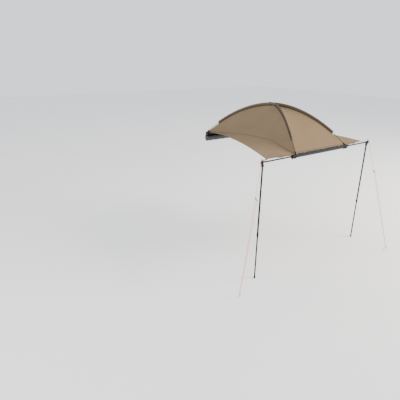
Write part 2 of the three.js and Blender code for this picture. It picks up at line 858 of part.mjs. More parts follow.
// A lobed clamp knob that hangs down from its seat at height 0, with its stem reaching up
function knobGeometry(stem) {
  const shape = new THREE.Shape();
  const steps = 4 * knobLobes;
  for (let i = 0; i < steps; i += 1) {
    const angle = 2 * Math.PI * i / steps;
    const radius = knobRadius - knobLobeRadius / 2 * (1 - Math.cos(knobLobes * angle));
    const step = i ? 'lineTo' : 'moveTo';
    shape[step](radius * Math.cos(angle), radius * Math.sin(angle));
  }
  shape.closePath();
  const head = extruded(shape, knobHeight, 'z').translate(0, 0, -seatGap - knobNeck - knobHeight / 2);
  const neck = bar([0, 0, -seatGap - knobNeck - knobHeight / 2], [0, 0, -seatGap], knobNeckRadius, 16);
  const shank = bar([0, 0, -knobNeck], [0, 0, stem], knobStemRadius, 12);
  return join(head, neck, shank);
}

// Front rail mouldings

function armGuideGeometry(side) {
  const length = guideOnRail + guideBeyond;
  const body = collarGeometry(length).translate(side * (guideBeyond - guideOnRail) / 2, 0, 0);
  const roomLength = guideOnRail + overrun;
  const room = railRoom(roomLength).translate(side * (seatGap - roomLength / 2), 0, 0);
  const bore = bar([-side * overrun, 0, 0], [side * (guideBeyond + overrun), 0, 0], boreRadius, 24);
  const x = side * guideKnobPlace;
  const stemHole = bar([x, 0, -collarHeight / 2 - overrun], [x, 0, 0], knobStemRadius + runGap, 12);
  return cut(body, room, bore, stemHole);
}

// The arm's end: a plug, a block, a fork for the leg below it and a post above
function cornerGeometry(side) {
  const y = side * legSide;
  const roof = forkRoof - legDrop;
  const inner = eyeThickness / 2 + eyeGap;
  const outer = inner + forkCheek;
  const flatSize = cornerSize - 2 * cornerBevel;
  const underside = cornerBevel - cornerBelow;
  const body = new THREE.ExtrudeGeometry(roundedRect(flatSize, flatSize, cornerRound), {
    depth: cornerAbove - cornerBevel - underside,
    bevelThickness: cornerBevel,
    bevelSize: cornerBevel,
    bevelSegments: 1,
    curveSegments: 2,
  });
  body.translate(0, 0, underside);
  const plug = bar([0, 0, 0], [-side * plugLength, 0, 0], armRadius - tubeWall - seatGap, 16);
  const bridgeSize = [2 * forkHalfWidth, 2 * outer, underside - roof];
  const bridge = block(bridgeSize, [0, y, (roof + underside) / 2]);
  const cheek = new THREE.Shape();
  cheek.moveTo(forkHalfWidth, roof + cornerBevel);
  cheek.lineTo(-forkHalfWidth, roof + cornerBevel);
  cheek.absarc(0, -legDrop, forkHalfWidth, Math.PI, 2 * Math.PI);
  cheek.closePath();
  const cheeks = [-1, 1].map((way) => {
    const middle = y + way * (inner + forkCheek / 2);
    return extruded(cheek, forkCheek, 'y', 5).translate(0, middle, 0);
  });
  const stand = cornerAbove - cornerBevel;
  const shoulder = cornerAbove + postShoulderRise;
  const capLow = postHeight - postCapHeight;
  const post = turned([
    [0, stand], [postShoulder, stand], [postShoulder, shoulder],
    [postRadius, shoulder], [postRadius, capLow], [postCapRadius, capLow + postCapHeight / 4],
    [postCapRadius - postCapHeight / 2, postHeight], [0, postHeight],
  ], 20);
  const [near, far] = [-1, 1].map((way) => [0, y + way * (outer + overrun), -legDrop]);
  const pinRoom = bar(near, far, pinRadius + seatGap, 20);
  return cut(join(body, plug, bridge, ...cheeks, post), pinRoom);
}

function pinGeometry() {
  const outer = eyeThickness / 2 + eyeGap + forkCheek + seatGap;
  const shank = bar([0, -outer - pinHead / 2, 0], [0, outer + pinHead / 2, 0], pinRadius, 20);
  const heads = [-1, 1].map((way) => {
    return bar([0, way * outer, 0], [0, way * (outer + pinHead), 0], pinHeadRadius, 16);
  });
  return join(shank, ...heads);
}

// The webbing from the wing's tip to the corner's post, with an eyelet over the post
function strapGeometry(side) {
  const length = Math.hypot(wingTipIn, wingTipBack) + strapOverlap;
  const shape = new THREE.Shape();
  shape.absarc(0, 0, strapWidth / 2, Math.PI / 2, 1.5 * Math.PI);
  shape.lineTo(length, -strapWidth / 2);
  shape.lineTo(length, strapWidth / 2);
  shape.closePath();
  const eyelet = new THREE.Path();
  eyelet.absarc(0, 0, postRadius + runGap, 0, 2 * Math.PI);
  shape.holes.push(eyelet);
  const band = extruded(shape, strapThickness, 'z', 5).translate(0, 0, strapLevel + strapThickness / 2);
  return band.rotateZ(Math.atan2(wingTipBack, -side * wingTipIn));
}

// Guy ropes

// A route whose stations are exactly its chosen points
class PointRoute extends THREE.Curve {
  constructor(points) {
    super();
    this.points = points.map((point) => new THREE.Vector3(...point));
  }

  getPoint(t) {
    const place = t * (this.points.length - 1);
    const start = Math.min(Math.floor(place + 1e-9), this.points.length - 2);
    return this.points[start].clone().lerp(this.points[start + 1], place - start);
  }

  getPointAt(t) {
    return this.getPoint(t);
  }

  getTangentAt(t) {
    const { points } = this;
    const last = points.length - 1;
    const place = Math.round(t * last);
    const ahead = points[Math.min(place + 1, last)].clone().sub(points[place]);
    const behind = points[place].clone().sub(points[Math.max(place - 1, 0)]);
    return ahead.normalize().add(behind.normalize()).normalize();
  }
}

// A round wire or cord through every point of a route
function alongRoute(route, radius) {
  const section = new THREE.Shape();
  section.absarc(0, 0, radius, 0, 2 * Math.PI);
  const extrudePath = new PointRoute(route);
  const options = { steps: route.length - 1, extrudePath, curveSegments: 4 };
  return new THREE.ExtrudeGeometry(section, options);
}

function ropeGeometry(route) {
  const end = route[route.length - 1];
  const stopper = new THREE.IcosahedronGeometry(endKnotRadius, 1).translate(...end);
  return join(alongRoute(route, ropeRadius), stopper);
}

// The loop over a corner's post and the knot that the rope leaves from, in the corner's frame
function loopGeometry(side) {
  const [start, next] = ropeRoutes[sideName(side)];
  const way = new THREE.Vector3(next[0] - start[0], next[1] - start[1], 0).normalize();
  const ringRadius = postRadius + runGap + ropeRadius;
  const at = (distance, level) => way.clone().multiplyScalar(distance).setZ(level).toArray();
  const ring = new THREE.TorusGeometry(ringRadius, ropeRadius, 6, 16).translate(0, 0, loopLevel);
  const neck = bar(at(ringRadius, loopLevel), at(knotPlace, knotLevel), ropeRadius, 8);
  const knot = new THREE.IcosahedronGeometry(knotRadius, 1);
  return join(ring, neck, knot.translate(...at(knotPlace, knotLevel)));
}

// A three-holed runner bar on a slant between the rope's two strands, which pass its end holes
function runnerGeometry(route) {
  const [before, hole, after] = route.slice(3, 6).map((point) => new THREE.Vector3(...point));
  const [below, farHole] = route.slice(-3, -1).map((point) => new THREE.Vector3(...point));
  const down = after.sub(before).normalize();
  const strand = farHole.clone().sub(below).normalize();
  const span = farHole.distanceTo(hole);
  const slant = farHole.sub(hole).normalize();
  const side = new THREE.Vector3().crossVectors(down, slant).normalize();
  const normal = new THREE.Vector3().crossVectors(slant, side);
  const outline = roundedRect(span + 2 * runnerEnd, runnerWidth, runnerWidth / 2 - seatGap);
  const plate = extruded(outline, runnerThickness, 'z', 3).translate(span / 2, 0, 0);
  plate.applyMatrix4(new THREE.Matrix4().makeBasis(slant, side, normal).setPosition(hole));
  const holes = [[0, down], [span / 2, down], [span, strand]];
  const tools = holes.map(([place, way]) => {
    const middle = hole.clone().addScaledVector(slant, place);
    const past = way.clone().multiplyScalar(2 * runnerThickness);
    const [from, to] = [middle.clone().sub(past), middle.clone().add(past)];
    return bar(from.toArray(), to.toArray(), runnerHole, 10);
  });
  return cut(plate, ...tools);
}

// A bent-wire peg: its hook holds the rope's turn, its shank leans in and goes into the ground
function pegGeometry(route) {
  const turn = new THREE.Vector3(...route[12]);
  const start = new THREE.Vector3(...route[0]);
  const outwards = turn.clone().sub(start).setZ(0).normalize();
  const crown = turn.clone();
  crown.z += ropeRadius + pegRoom + pegRadius;
  const at = (out, up) => crown.clone().addScaledVector(outwards, out).add(new THREE.Vector3(0, 0, up));
  const hook = [];
  for (let i = 0; i <= 6; i += 1) {
    const angle = Math.PI * i / 6;
    hook.push(at(-pegHook * Math.cos(angle), pegHook * (Math.sin(angle) - 1)));
  }
  const lean = pegLean / pegRise;
  const ground = at(-pegHook - pegLean, -pegHook - pegRise);
  const tip = at(-pegHook - pegLean - lean * pegBuried, -pegHook - pegRise - pegBuried);
  const tail = at(pegHook + pegTailOut, -pegHook - pegTailDrop);
  const bends = [tip, ground, ...hook, tail].map((bend) => bend.toArray());
  const wire = alongRoute(bends, pegRadius);
  const way = tip.clone().sub(ground).normalize();
  const point = new THREE.ConeGeometry(pegRadius, pegTip, 8);
  point.applyQuaternion(new THREE.Quaternion().setFromUnitVectors(new THREE.Vector3(0, 1, 0), way));
  const middle = tip.clone().addScaledVector(way, pegTip / 2 - seatGap);
  return join(wire, point.translate(...middle.toArray()));
}

// Legs, in a frame whose origin is the leg's pivot

function legHeadGeometry() {
  const low = headShoulderTop + headShoulder;
  const eye = bar([0, -eyeThickness / 2, 0], [0, eyeThickness / 2, 0], eyeRadius, 20);
  const neckLength = low - headShoulder / 2;
  const neck = block([neckWidth, eyeThickness, neckLength], [0, 0, -neckLength / 2]);
  const shoulder = bar([0, 0, -headShoulderTop], [0, 0, -low], legRadius, 20);
  const spigot = bar([0, 0, -low], [0, 0, -low - headSpigot], legRadius - tubeWall - runGap, 16);
  const room = bar([0, -eyeThickness, 0], [0, eyeThickness, 0], pinRadius + runGap, 20);
  return cut(join(eye, neck, shoulder, spigot), room);
}

// The twist lock: a ribbed ring round the end of the upper tube and the lower tube below it
function legLockGeometry() {
  const middle = -legUpperEnd;
  const [low, high] = [middle - lockBelow, middle + lockAbove];
  const upperRoom = legRadius + runGap;
  const lowerRoom = legLowerRadius + runGap;
  const body = turned([
    [lowerRoom, low], [lockTopRadius, low], [lockRadius, low + lockBelow / 3],
    [lockRadius, high - lockAbove / 3], [lockTopRadius, high], [upperRoom, high],
    [upperRoom, middle - seatGap], [lowerRoom, middle - seatGap], [lowerRoom, low],
  ]);
  const ribs = [];
  const ribSize = [2 * lockRib, lockRibWidth, (lockAbove + lockBelow) * 2 / 3];
  for (let i = 0; i < lockRibs; i += 1) {
    const rib = block(ribSize, [lockRadius, 0, (low + high) / 2]);
    ribs.push(rib.rotateZ(2 * Math.PI * i / lockRibs));
  }
  return join(body, ...ribs);
}

function footGeometry() {
  const top = footHeight - legLength;
  const room = legLowerRadius + seatGap;
  return turned([
    [0, -legLength], [footRadius - footEdge / 2, -legLength], [footRadius, footEdge - legLength],
    [footRadius, 2 * footEdge - legLength], [footTopRadius, top], [room, top],
    [room, footSole - legLength], [0, footSole - legLength],
  ]);
}

function legParts(side) {
  const name = sideName(side);
  const low = headShoulderTop + headShoulder + seatGap;
  const upper = tube(legRadius, legRadius - tubeWall, -legUpperEnd, -low);
  const lowerLow = footSole + seatGap - legLength;
  const lower = tube(legLowerRadius, legLowerRadius - tubeWall, lowerLow, legOverlap - legUpperEnd);
  return group(side * cornerX, side * legSide, -legDrop,
    part(`leg_head_${name}`, legHeadGeometry(), blackPlastic),
    part(`leg_upper_tube_${name}`, upper, anodised),
    part(`leg_lock_${name}`, legLockGeometry(), blackPlastic),
    part(`leg_lower_tube_${name}`, lower, anodised),
    part(`leg_foot_${name}`, footGeometry(), rubber),
    part(`leg_pivot_pin_${name}`, pinGeometry(), zincSteel));
}

// Assembly

function vehicleSide() {
  const made = group(0, -railDepth / 2, 0);
  made.add(part('vehicle_rail', railGeometry(), anodised));
  made.add(part('vehicle_bead', beadGeometry(beadLength), tanCloth));
  made.add(part('storage_bag', bagGeometry(), bagCloth));
  for (const side of [-1, 1]) {
    made.add(group(side * railHalf, 0, 0, railCap(side)));
    const socket = part(`pole_socket_${sideName(side)}`, socketGeometry(side, -1), blackPlastic);
    made.add(group(side * poleFootX, 0, 0, socket));
  }
  return made;
}

function frontSide() {
  const made = group(0, -reach, 0);
  made.add(part('front_rail', railGeometry(), anodised));
  made.add(part('front_bead', beadGeometry(beadLength), tanCloth));
  for (const side of [-1, 1]) {
    const name = sideName(side);
    const seat = -collarHeight / 2;
    const hub = part(`pole_hub_${name}`, socketGeometry(side, 1), blackPlastic);
    const hubKnob = part(`hub_knob_${name}`, knobGeometry(collarWall), blackPlastic);
    hubKnob.position.z = seat;
    made.add(group(side * poleFootX, 0, 0, hub, hubKnob));
    const guide = part(`arm_guide_${name}`, armGuideGeometry(side), blackPlastic);
    const armKnob = part(`arm_knob_${name}`, knobGeometry(-seat - armRadius - runGap), blackPlastic);
    armKnob.position.set(side * guideKnobPlace, 0, seat);
    made.add(group(side * railHalf, 0, 0, guide, armKnob));
    const arm = tube(armRadius, armRadius - tubeWall, armInnerEnd, armOuterEnd);
    made.add(part(`arm_tube_${name}`, arm.rotateY(side * Math.PI / 2), anodised));
    made.add(group(side * cornerX, 0, 0,
      part(`corner_fitting_${name}`, cornerGeometry(side), blackPlastic),
      part(`tip_strap_${name}`, strapGeometry(side), webbing),
      part(`guy_loop_${name}`, loopGeometry(side), orangeRope)));
    made.add(legParts(side));
  }
  return made;
}

function guySet(side) {
  const name = sideName(side);
  const route = ropeRoutes[name];
  return group(0, 0, 0,
    part(`guy_rope_${name}`, ropeGeometry(route), orangeRope),
    part(`guy_runner_${name}`, runnerGeometry(route), greyPlastic),
    part(`guy_peg_${name}`, pegGeometry(route), zincSteel));
}

const awning = new THREE.Group();
awning.add(vehicleSide(), frontSide(), domePoles());
awning.add(part('canopy_dome', domeGeometry(), tanCloth));
for (const side of [-1, 1]) {
  awning.add(bracketSet(side), guySet(side));
  awning.add(part(`canopy_wing_${sideName(side)}`, wingGeometry(side), tanCloth));
}

export default awning;
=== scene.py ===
"""A dome-topped side awning, pitched: cloth canopy on two crossed poles, two rails, sliding arms,
telescopic legs and guy ropes. Metres, in the CAD's frame: +X along the rails, +Y to the vehicle."""

import json
import math

import bmesh
import bpy
from mathutils import Matrix, Vector


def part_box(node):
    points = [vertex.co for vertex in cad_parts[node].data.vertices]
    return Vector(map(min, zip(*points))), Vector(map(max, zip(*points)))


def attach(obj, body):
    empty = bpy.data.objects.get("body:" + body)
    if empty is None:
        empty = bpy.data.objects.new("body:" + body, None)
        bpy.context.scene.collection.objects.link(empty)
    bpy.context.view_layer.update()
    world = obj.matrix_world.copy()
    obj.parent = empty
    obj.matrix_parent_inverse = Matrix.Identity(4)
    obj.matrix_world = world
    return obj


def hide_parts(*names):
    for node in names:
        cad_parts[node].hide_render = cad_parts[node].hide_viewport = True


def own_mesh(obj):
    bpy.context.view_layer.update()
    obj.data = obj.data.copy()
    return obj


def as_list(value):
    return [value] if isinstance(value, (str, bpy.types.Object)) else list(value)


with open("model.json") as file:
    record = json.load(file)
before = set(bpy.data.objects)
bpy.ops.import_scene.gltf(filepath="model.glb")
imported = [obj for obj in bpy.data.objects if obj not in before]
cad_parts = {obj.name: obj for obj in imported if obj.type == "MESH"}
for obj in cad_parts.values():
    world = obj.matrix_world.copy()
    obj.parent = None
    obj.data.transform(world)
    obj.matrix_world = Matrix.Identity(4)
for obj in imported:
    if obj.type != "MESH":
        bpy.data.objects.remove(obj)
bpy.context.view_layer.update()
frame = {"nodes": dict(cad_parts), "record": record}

# Sizes that the CAD part has too. Levels are heights above the middle of the rails.
REACH = 2.220
CORNER_X = 1.2925
STAND = 1.875
RAIL_DEPTH = 0.040
DOME_RISE = 0.614
POLE_FOOT_X = 0.605
POLE_FOOT_LEVEL = 0.042
POLE_RADIUS = 0.00475
POLE_STACK = 0.0106
ARCH_POWER = 1.95
EDGE_LEVEL = 0.033
RIDGE_ROOM = 0.0165
SLEEVE_START = 0.022
SLEEVE_END = 0.83
SEAM_BULGE = 0.025
SEAM_ARCH = 0.118
SEAM_FRONT_SHARE = 0.26
SEAM_VEHICLE_SHARE = 0.6
PANEL_DIP = 0.042
WING_DIP = 0.025
WING_EDGE_CUT = 0.020
WING_EDGE_ARCH = 0.065
WING_START_X = 0.630
WING_TIP = (1.1705, -2.180, 0.0205)
ROPE_RADIUS = 0.00225

DOME_CENTRE_Y = -(RAIL_DEPTH / 2 + REACH) / 2
DOME_HALF = (REACH - RAIL_DEPTH / 2) / 2
POLE_SPAN = math.hypot(POLE_FOOT_X, DOME_HALF)

# How thick the shown cloths and tapes are, with their coating, and the front rail's dark strip of
# painted shade
CLOTH = 0.0012
HEM = 0.0034
VALANCE_CLOTH = 0.0024
SLEEVE_MESH = 0.0009
FIN_CLOTH = 0.0022
FIN_HEM = 0.0032
TAB_TAPE = 0.0012
BAG_CLOTH = 0.0018
FLANGE_CLOTH = 0.0016
SHADE_STRIP = 0.001

# How much of each corner is cut off the dome to clear a pole's socket
NOTCH = 0.018
# How far the fin on a sleeve stands over its pole's middle, and how much lower the upper pole's
# fins start
FIN_AT_CROSSING = 0.042
FIN_AT_END = 0.026
UPPER_FIN_DROP = 0.023
# How far the flap under a wing's front hem hangs, and how deep the wing's folds are
WING_VALANCE = 0.013
WING_FOLD = 0.0025
# Edges sharper than this stay crisp in the shading
CRISP_ANGLE = math.radians(38)


# Small tools for numbers, meshes and materials

def smooth(t):
    return t * t * (3 - 2 * t)


def clamped(t):
    return min(max(t, 0.0), 1.0)


def mix(a, b, t):
    return a + (b - a) * t


def linear(code):
    """The linear colour of an sRGB hex code."""
    channels = [int(code[i:i + 2], 16) / 255 for i in (1, 3, 5)]
    lit = [c / 12.92 if c <= 0.04045 else ((c + 0.055) / 1.055) ** 2.4 for c in channels]
    return (*lit, 1.0)


def piece(name, bm, material, body=None, rounded=True):
    """Makes a mesh object of bm and lets it ride on a CAD body. Only its crisp edges show as
    edges, unless it isn't rounded at all."""
    mesh = bpy.data.meshes.new(name)
    bm.to_mesh(mesh)
    bm.free()
    if rounded:
        mesh.shade_smooth()
        mesh.set_sharp_from_angle(angle=CRISP_ANGLE)
    else:
        mesh.shade_flat()
    obj = bpy.data.objects.new(name, mesh)
    bpy.context.collection.objects.link(obj)
    mesh.materials.append(material)
    if body:
        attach(obj, body)
    return obj


def thicken(obj, thickness):
    """Gives a bare skin its wall, half of it to each side."""
    wall = obj.modifiers.new("wall", "SOLIDIFY")
    wall.thickness = thickness
    wall.offset = 0.0


def sheet_mesh(across, along, point, across_range=(0.0, 1.0), along_range=(0.0, 1.0), trims=()):
    """A grid bent by point(s, t), with its own UV map in s and t. Trims are cuts made while it is
    flat: each a point and a direction in s and t, and what lies beyond it goes."""
    bm = bmesh.new()
    bmesh.ops.create_grid(bm, x_segments=across, y_segments=along, size=0.5)
    (s0, s1), (t0, t1) = across_range, along_range
    for vert in bm.verts:
        s, t = vert.co.x + 0.5, vert.co.y + 0.5
        vert.co = (s0 + (s1 - s0) * s, t0 + (t1 - t0) * t, 0)
    for start, way in trims:
        bmesh.ops.bisect_plane(bm, geom=bm.verts[:] + bm.edges[:] + bm.faces[:],
                               clear_outer=True, plane_co=(*start, 0), plane_no=(*way, 0))
    flat = {vert: (vert.co.x, vert.co.y) for vert in bm.verts}
    for vert, (s, t) in flat.items():
        vert.co = point(s, t)
    layer = bm.loops.layers.uv.new("cloth")
    for face in bm.faces:
        for loop in face.loops:
            loop[layer].uv = flat[loop.vert]
    return bm


def ring_frames(points):
    """For each point of a line, the point and two directions square to the line there, with no
    twist from one point to the next."""
    frames, normal = [], None
    last = len(points) - 1
    for i, here in enumerate(points):
        tangent = (points[min(i + 1, last)] - points[max(i - 1, 0)]).normalized()
        if normal is None:
            upright = abs(tangent.z) >= 0.9
            normal = tangent.cross(Vector((0, 1, 0) if upright else (0, 0, 1))).normalized()
        normal = (normal - tangent * normal.dot(tangent)).normalized()
        frames.append((here, normal.copy(), tangent.cross(normal)))
    return frames


def sweep(points, radius, sides):
    """A round bar along a line of points, its rings extruded one from the next. The radius is one
    number or a list, one for each point. The UV map has turns and metres along the bar."""
    points = [Vector(p) for p in points]
    count = len(points)
    bm = bmesh.new()
    frames = ring_frames(points)
    radii = radius if isinstance(radius, list) else [radius] * count

    def ring(i):
        here, a, b = frames[i]
        angles = [2 * math.pi * k / sides for k in range(sides)]
        return [here + (a * math.cos(q) + b * math.sin(q)) * radii[i] for q in angles]

    made = bmesh.ops.create_circle(bm, segments=sides, radius=radii[0])
    verts = sorted(made["verts"], key=lambda v: math.atan2(v.co.y, v.co.x) % (2 * math.pi))
    for vert, co in zip(verts, ring(0)):
        vert.co = co
    layer = bm.loops.layers.uv.new("cord")
    first, lengths, rows = verts, [0.0], {v: (k, 0) for k, v in enumerate(verts)}
    for i in range(1, count):
        edges = [e for e in bm.edges if e.verts[0] in verts and e.verts[1] in verts]
        grown = bmesh.ops.extrude_edge_only(bm, edges=edges)
        twin = {}
        for vert in (g for g in grown["geom"] if isinstance(g, bmesh.types.BMVert)):
            for edge in vert.link_edges:
                other = edge.other_vert(vert)
                if other in rows and rows[other][1] == i - 1:
                    twin[rows[other][0]] = vert
        verts = [twin[k] for k in range(sides)]
        lengths.append(lengths[-1] + (points[i] - points[i - 1]).length)
        for k, (vert, co) in enumerate(zip(verts, ring(i))):
            vert.co = co
            rows[vert] = (k, i)
    for face in bm.faces:
        ks = [rows[loop.vert][0] for loop in face.loops]
        wraps = max(ks) - min(ks) > sides / 2
        for loop in face.loops:
            k, i = rows[loop.vert]
            k = k + sides if wraps and k < sides / 2 else k
            loop[layer].uv = (k / sides, lengths[i])
    bmesh.ops.contextual_create(bm, geom=first)
    bmesh.ops.contextual_create(bm, geom=verts)
    bmesh.ops.recalc_face_normals(bm, faces=bm.faces[:])
    return bm


def turned(profile, centre, steps=48):
    """A profile of (radius, height) pairs spun round the vertical line through centre."""
    bm = bmesh.new()
    verts = [bm.verts.new((r, 0, h)) for r, h in profile]
    edges = [bm.edges.new(pair) for pair in zip(verts, verts[1:])]
    bmesh.ops.spin(bm, geom=verts + edges, cent=(0, 0, 0), axis=(0, 0, 1), angle=2 * math.pi,
                   steps=steps, use_merge=True)
    bmesh.ops.remove_doubles(bm, verts=bm.verts[:], dist=1e-6)
    bmesh.ops.recalc_face_normals(bm, faces=bm.faces[:])
    bmesh.ops.transform(bm, matrix=Matrix.Translation(centre), verts=bm.verts[:])
    return bm


def add_node(tree, kind, links=None, **settings):
    """Adds a node. Settings are its own properties or, by name, its sockets' values; links go
    from an output socket to the named input."""
    made = tree.nodes.new(kind)
    for key, value in settings.items():
        if hasattr(made, key):
            setattr(made, key, value)
        else:
            made.inputs[key.replace("_", " ")].default_value = value
    for key, source in (links or {}).items():
        tree.links.new(source, made.inputs[key])
    return made


def new_material(name, **values):
    """A material, its node tree, its shader with these values, and its texture coordinates."""
    material = bpy.data.materials.new(name)
    material.use_nodes = True
    tree = material.node_tree
    shader = tree.nodes["Principled BSDF"]
    for key, value in values.items():
        shader.inputs[key.replace("_", " ")].default_value = value
    return material, tree, shader, add_node(tree, "ShaderNodeTexCoord").outputs


def add_colour(tree, shader, factor, dark, light):
    """Colours the shader by a ramp between two hex colours."""
    ramp = add_node(tree, "ShaderNodeValToRGB", {"Fac": factor})
    ramp.color_ramp.elements[0].color = linear(dark)
    ramp.color_ramp.elements[1].color = linear(light)
    tree.links.new(ramp.outputs["Color"], shader.inputs["Base Color"])


def add_bumps(tree, shader, *layers):
    """Bump layers, each a height socket, a strength and a depth, laid one over the other."""
    below = {}
    for height, strength, depth in layers:
        made = add_node(tree, "ShaderNodeBump", {"Height": height, **below}, Strength=strength,
                        Distance=depth)
        below = {"Normal": made.outputs["Normal"]}
    tree.links.new(below["Normal"], shader.inputs["Normal"])


def add_roughness(tree, shader, factor, least, most):
    spread = add_node(tree, "ShaderNodeMapRange", {"Value": factor}, To_Min=least, To_Max=most)
    tree.links.new(spread.outputs["Result"], shader.inputs["Roughness"])


# Materials

def woven_polyester(name, dark, light, bend=0.25):
    """Coated polyester, plain weave. Matt, with faint slack ripples and a slight cast that
    changes over a hand's width. The real thread pitch is 0.4 mm and shows at no distance that
    the render has, so the weave is drawn 3 mm coarse and weak."""
    material, tree, shader, place = new_material(
        name, Roughness=0.92, IOR=1.45, Sheen_Weight=0.02, Sheen_Roughness=0.5,
        Specular_IOR_Level=0.12)
    cast = add_node(tree, "ShaderNodeTexNoise", {"Vector": place["Object"]}, Scale=3.0, Detail=3.0)
    add_colour(tree, shader, cast.outputs["Fac"], dark, light)
    warp, weft = (add_node(tree, "ShaderNodeTexWave", {"Vector": place["Object"]}, Scale=53.0,
                           bands_direction=way, Distortion=0.4).outputs["Fac"] for way in "XY")
    weave = add_node(tree, "ShaderNodeMath", {0: warp, 1: weft}, operation="MULTIPLY")
    ripple = add_node(tree, "ShaderNodeTexNoise", {"Vector": place["Object"]}, Scale=7.0,
                      Detail=2.0, Roughness=0.4)
    add_bumps(tree, shader, (weave.outputs[0], 0.12, 0.0004), (ripple.outputs["Fac"], bend, 0.02))
    return material


def anodised_aluminium(name, dark, light, way="X", dyed=False):
    """Extruded aluminium, bead-blasted and anodised: a soft metal gloss with faint lines along
    the extrusion. A black dyed skin is matt and hides the metal below it."""
    skin = {"Metallic": 0.0, "Specular_IOR_Level": 0.12} if dyed else {"Metallic": 0.85}
    least_rough, most_rough = (0.62, 0.78) if dyed else (0.34, 0.52)
    material, tree, shader, place = new_material(name, **skin)
    stretch = {"X": (2.0, 400.0, 400.0), "Z": (400.0, 400.0, 2.0)}[way]
    drawn = add_node(tree, "ShaderNodeMapping", {"Vector": place["Object"]}, Scale=stretch)
    lines = add_node(tree, "ShaderNodeTexNoise", {"Vector": drawn.outputs["Vector"]}, Scale=1.0,
                     Detail=4.0)
    add_colour(tree, shader, lines.outputs["Fac"], dark, light)
    add_roughness(tree, shader, lines.outputs["Fac"], least_rough, most_rough)
    add_bumps(tree, shader, (lines.outputs["Fac"], 0.08, 0.0003))
    return material


def moulded_nylon(name, dark, light, rough=0.55):
    """Glass-filled nylon, injection moulded with a spark-eroded grain of about 0.5 mm. Moulded
    rubber has the same skin, only duller."""
    material, tree, shader, place = new_material(name, Roughness=rough, IOR=1.53,
                                                 Specular_IOR_Level=0.15)
    grain = add_node(tree, "ShaderNodeTexNoise", {"Vector": place["Object"]}, Scale=1800.0,
                     Detail=2.0)
    cloud = add_node(tree, "ShaderNodeTexNoise", {"Vector": place["Object"]}, Scale=30.0,
                     Detail=3.0)
    add_colour(tree, shader, cloud.outputs["Fac"], dark, light)
    add_bumps(tree, shader, (grain.outputs["Fac"], 0.25, 0.0002))
    return material


def plated_steel(name, dark, light, metal=1.0, rough=0.32):
    """Steel with a bright zinc or a powder finish: an even skin with small cloudy changes."""
    material, tree, shader, place = new_material(name, Metallic=metal)
    cloud = add_node(tree, "ShaderNodeTexNoise", {"Vector": place["Object"]}, Scale=160.0,
                     Detail=5.0)
    add_colour(tree, shader, cloud.outputs["Fac"], dark, light)
    add_roughness(tree, shader, cloud.outputs["Fac"], rough - 0.08, rough + 0.12)
    return material


def glass_fibre_rod(name):
    """Pultruded glass fibre, black: a smooth resin gloss with long fibre streaks."""
    material, tree, shader, place = new_material(name, Roughness=0.55, IOR=1.52)
    along = add_node(tree, "ShaderNodeMapping", {"Vector": place["UV"]}, Scale=(60.0, 4.0, 1.0))
    streak = add_node(tree, "ShaderNodeTexNoise", {"Vector": along.outputs["Vector"]}, Scale=1.0,
                      Detail=3.0)
    add_colour(tree, shader, streak.outputs["Fac"], "#16130f", "#26211c")
    return material


def braided_cord(name, dark, light):
    """Braided polyester cord, 4.5 mm: strands cross in a diamond pattern, drawn 6 mm long."""
    material, tree, shader, place = new_material(name, Roughness=0.85, IOR=1.5,
                                                 Specular_IOR_Level=0.15)
    strands = []
    for turn in (math.radians(45), math.radians(-45)):
        lay = add_node(tree, "ShaderNodeMapping", {"Vector": place["UV"]},
                       Scale=(4.0, 330.0, 1.0), Rotation=(0, 0, turn))
        strands.append(add_node(tree, "ShaderNodeTexWave", {"Vector": lay.outputs["Vector"]},
                                Scale=0.7).outputs["Fac"])
    braid = add_node(tree, "ShaderNodeMath", dict(enumerate(strands)), operation="MAXIMUM")
    add_colour(tree, shader, braid.outputs[0], dark, light)
    add_bumps(tree, shader, (braid.outputs[0], 0.5, 0.0005))
    return material


def woven_tape(name, dark, light):
    """Polyester webbing: ribs 1.6 mm apart run across the tape."""
    material, tree, shader, place = new_material(name, Roughness=0.88, IOR=1.5,
                                                 Specular_IOR_Level=0.15)
    ribs = add_node(tree, "ShaderNodeTexWave", {"Vector": place["Object"]}, Scale=100.0,
                    bands_direction="DIAGONAL", Distortion=0.5)
    add_colour(tree, shader, ribs.outputs["Fac"], dark, light)
    add_bumps(tree, shader, (ribs.outputs["Fac"], 0.4, 0.0004))
    return material


def pvc_cloth(name):
    """PVC-coated cloth, black: a dull plastic gloss over a coarse base weave, with painted shade
    that darkens the folds' hollows and lightens their crests.
    """
    material, tree, shader, place = new_material(name, Roughness=0.55, IOR=1.5)
    base = add_node(tree, "ShaderNodeTexVoronoi", {"Vector": place["Object"]}, Scale=420.0)
    fold_and_shade = add_node(tree, "ShaderNodeTexNoise", {"Vector": place["Object"]}, Scale=9.0, Detail=3.0)
    # The colour follows the folds' height: painted shade, darker in the hollows.
    add_colour(tree, shader, fold_and_shade.outputs["Fac"], "#1b1c1e", "#34363a")
    add_bumps(tree, shader, (base.outputs["Distance"], 0.2, 0.0004),
              (fold_and_shade.outputs["Fac"], 0.35, 0.02))
    return material


# Cloth of the canopy, of the tunnels that the poles slide into, and of the fins on the tunnels
tan = woven_polyester("tan_polyester", "#736049", "#7f6c53")
sleeve_mesh = woven_polyester("sleeve_mesh", "#41382f", "#52463b", bend=0.15)
sleeve_brown = woven_polyester("sleeve_polyester", "#655647", "#726151", bend=0.15)
# Tapes of the hems, the seams, the front bead, the wings' tips and the sleeves' ends; the front
# bead is a real tape, coloured near black as painted shade of the rail's groove
hem_tape = woven_tape("hem_tape", "#645340", "#705e49")
seam_tape = woven_tape("seam_tape", "#665641", "#72624b")
bead_tape_and_groove_shade = woven_tape("bead_tape_and_groove_shade", "#2b2621", "#38322b")
dark_tape = woven_tape("dark_webbing", "#232527", "#3a3d40")
pale_tape = woven_tape("pale_webbing", "#6d655a", "#7f766a")
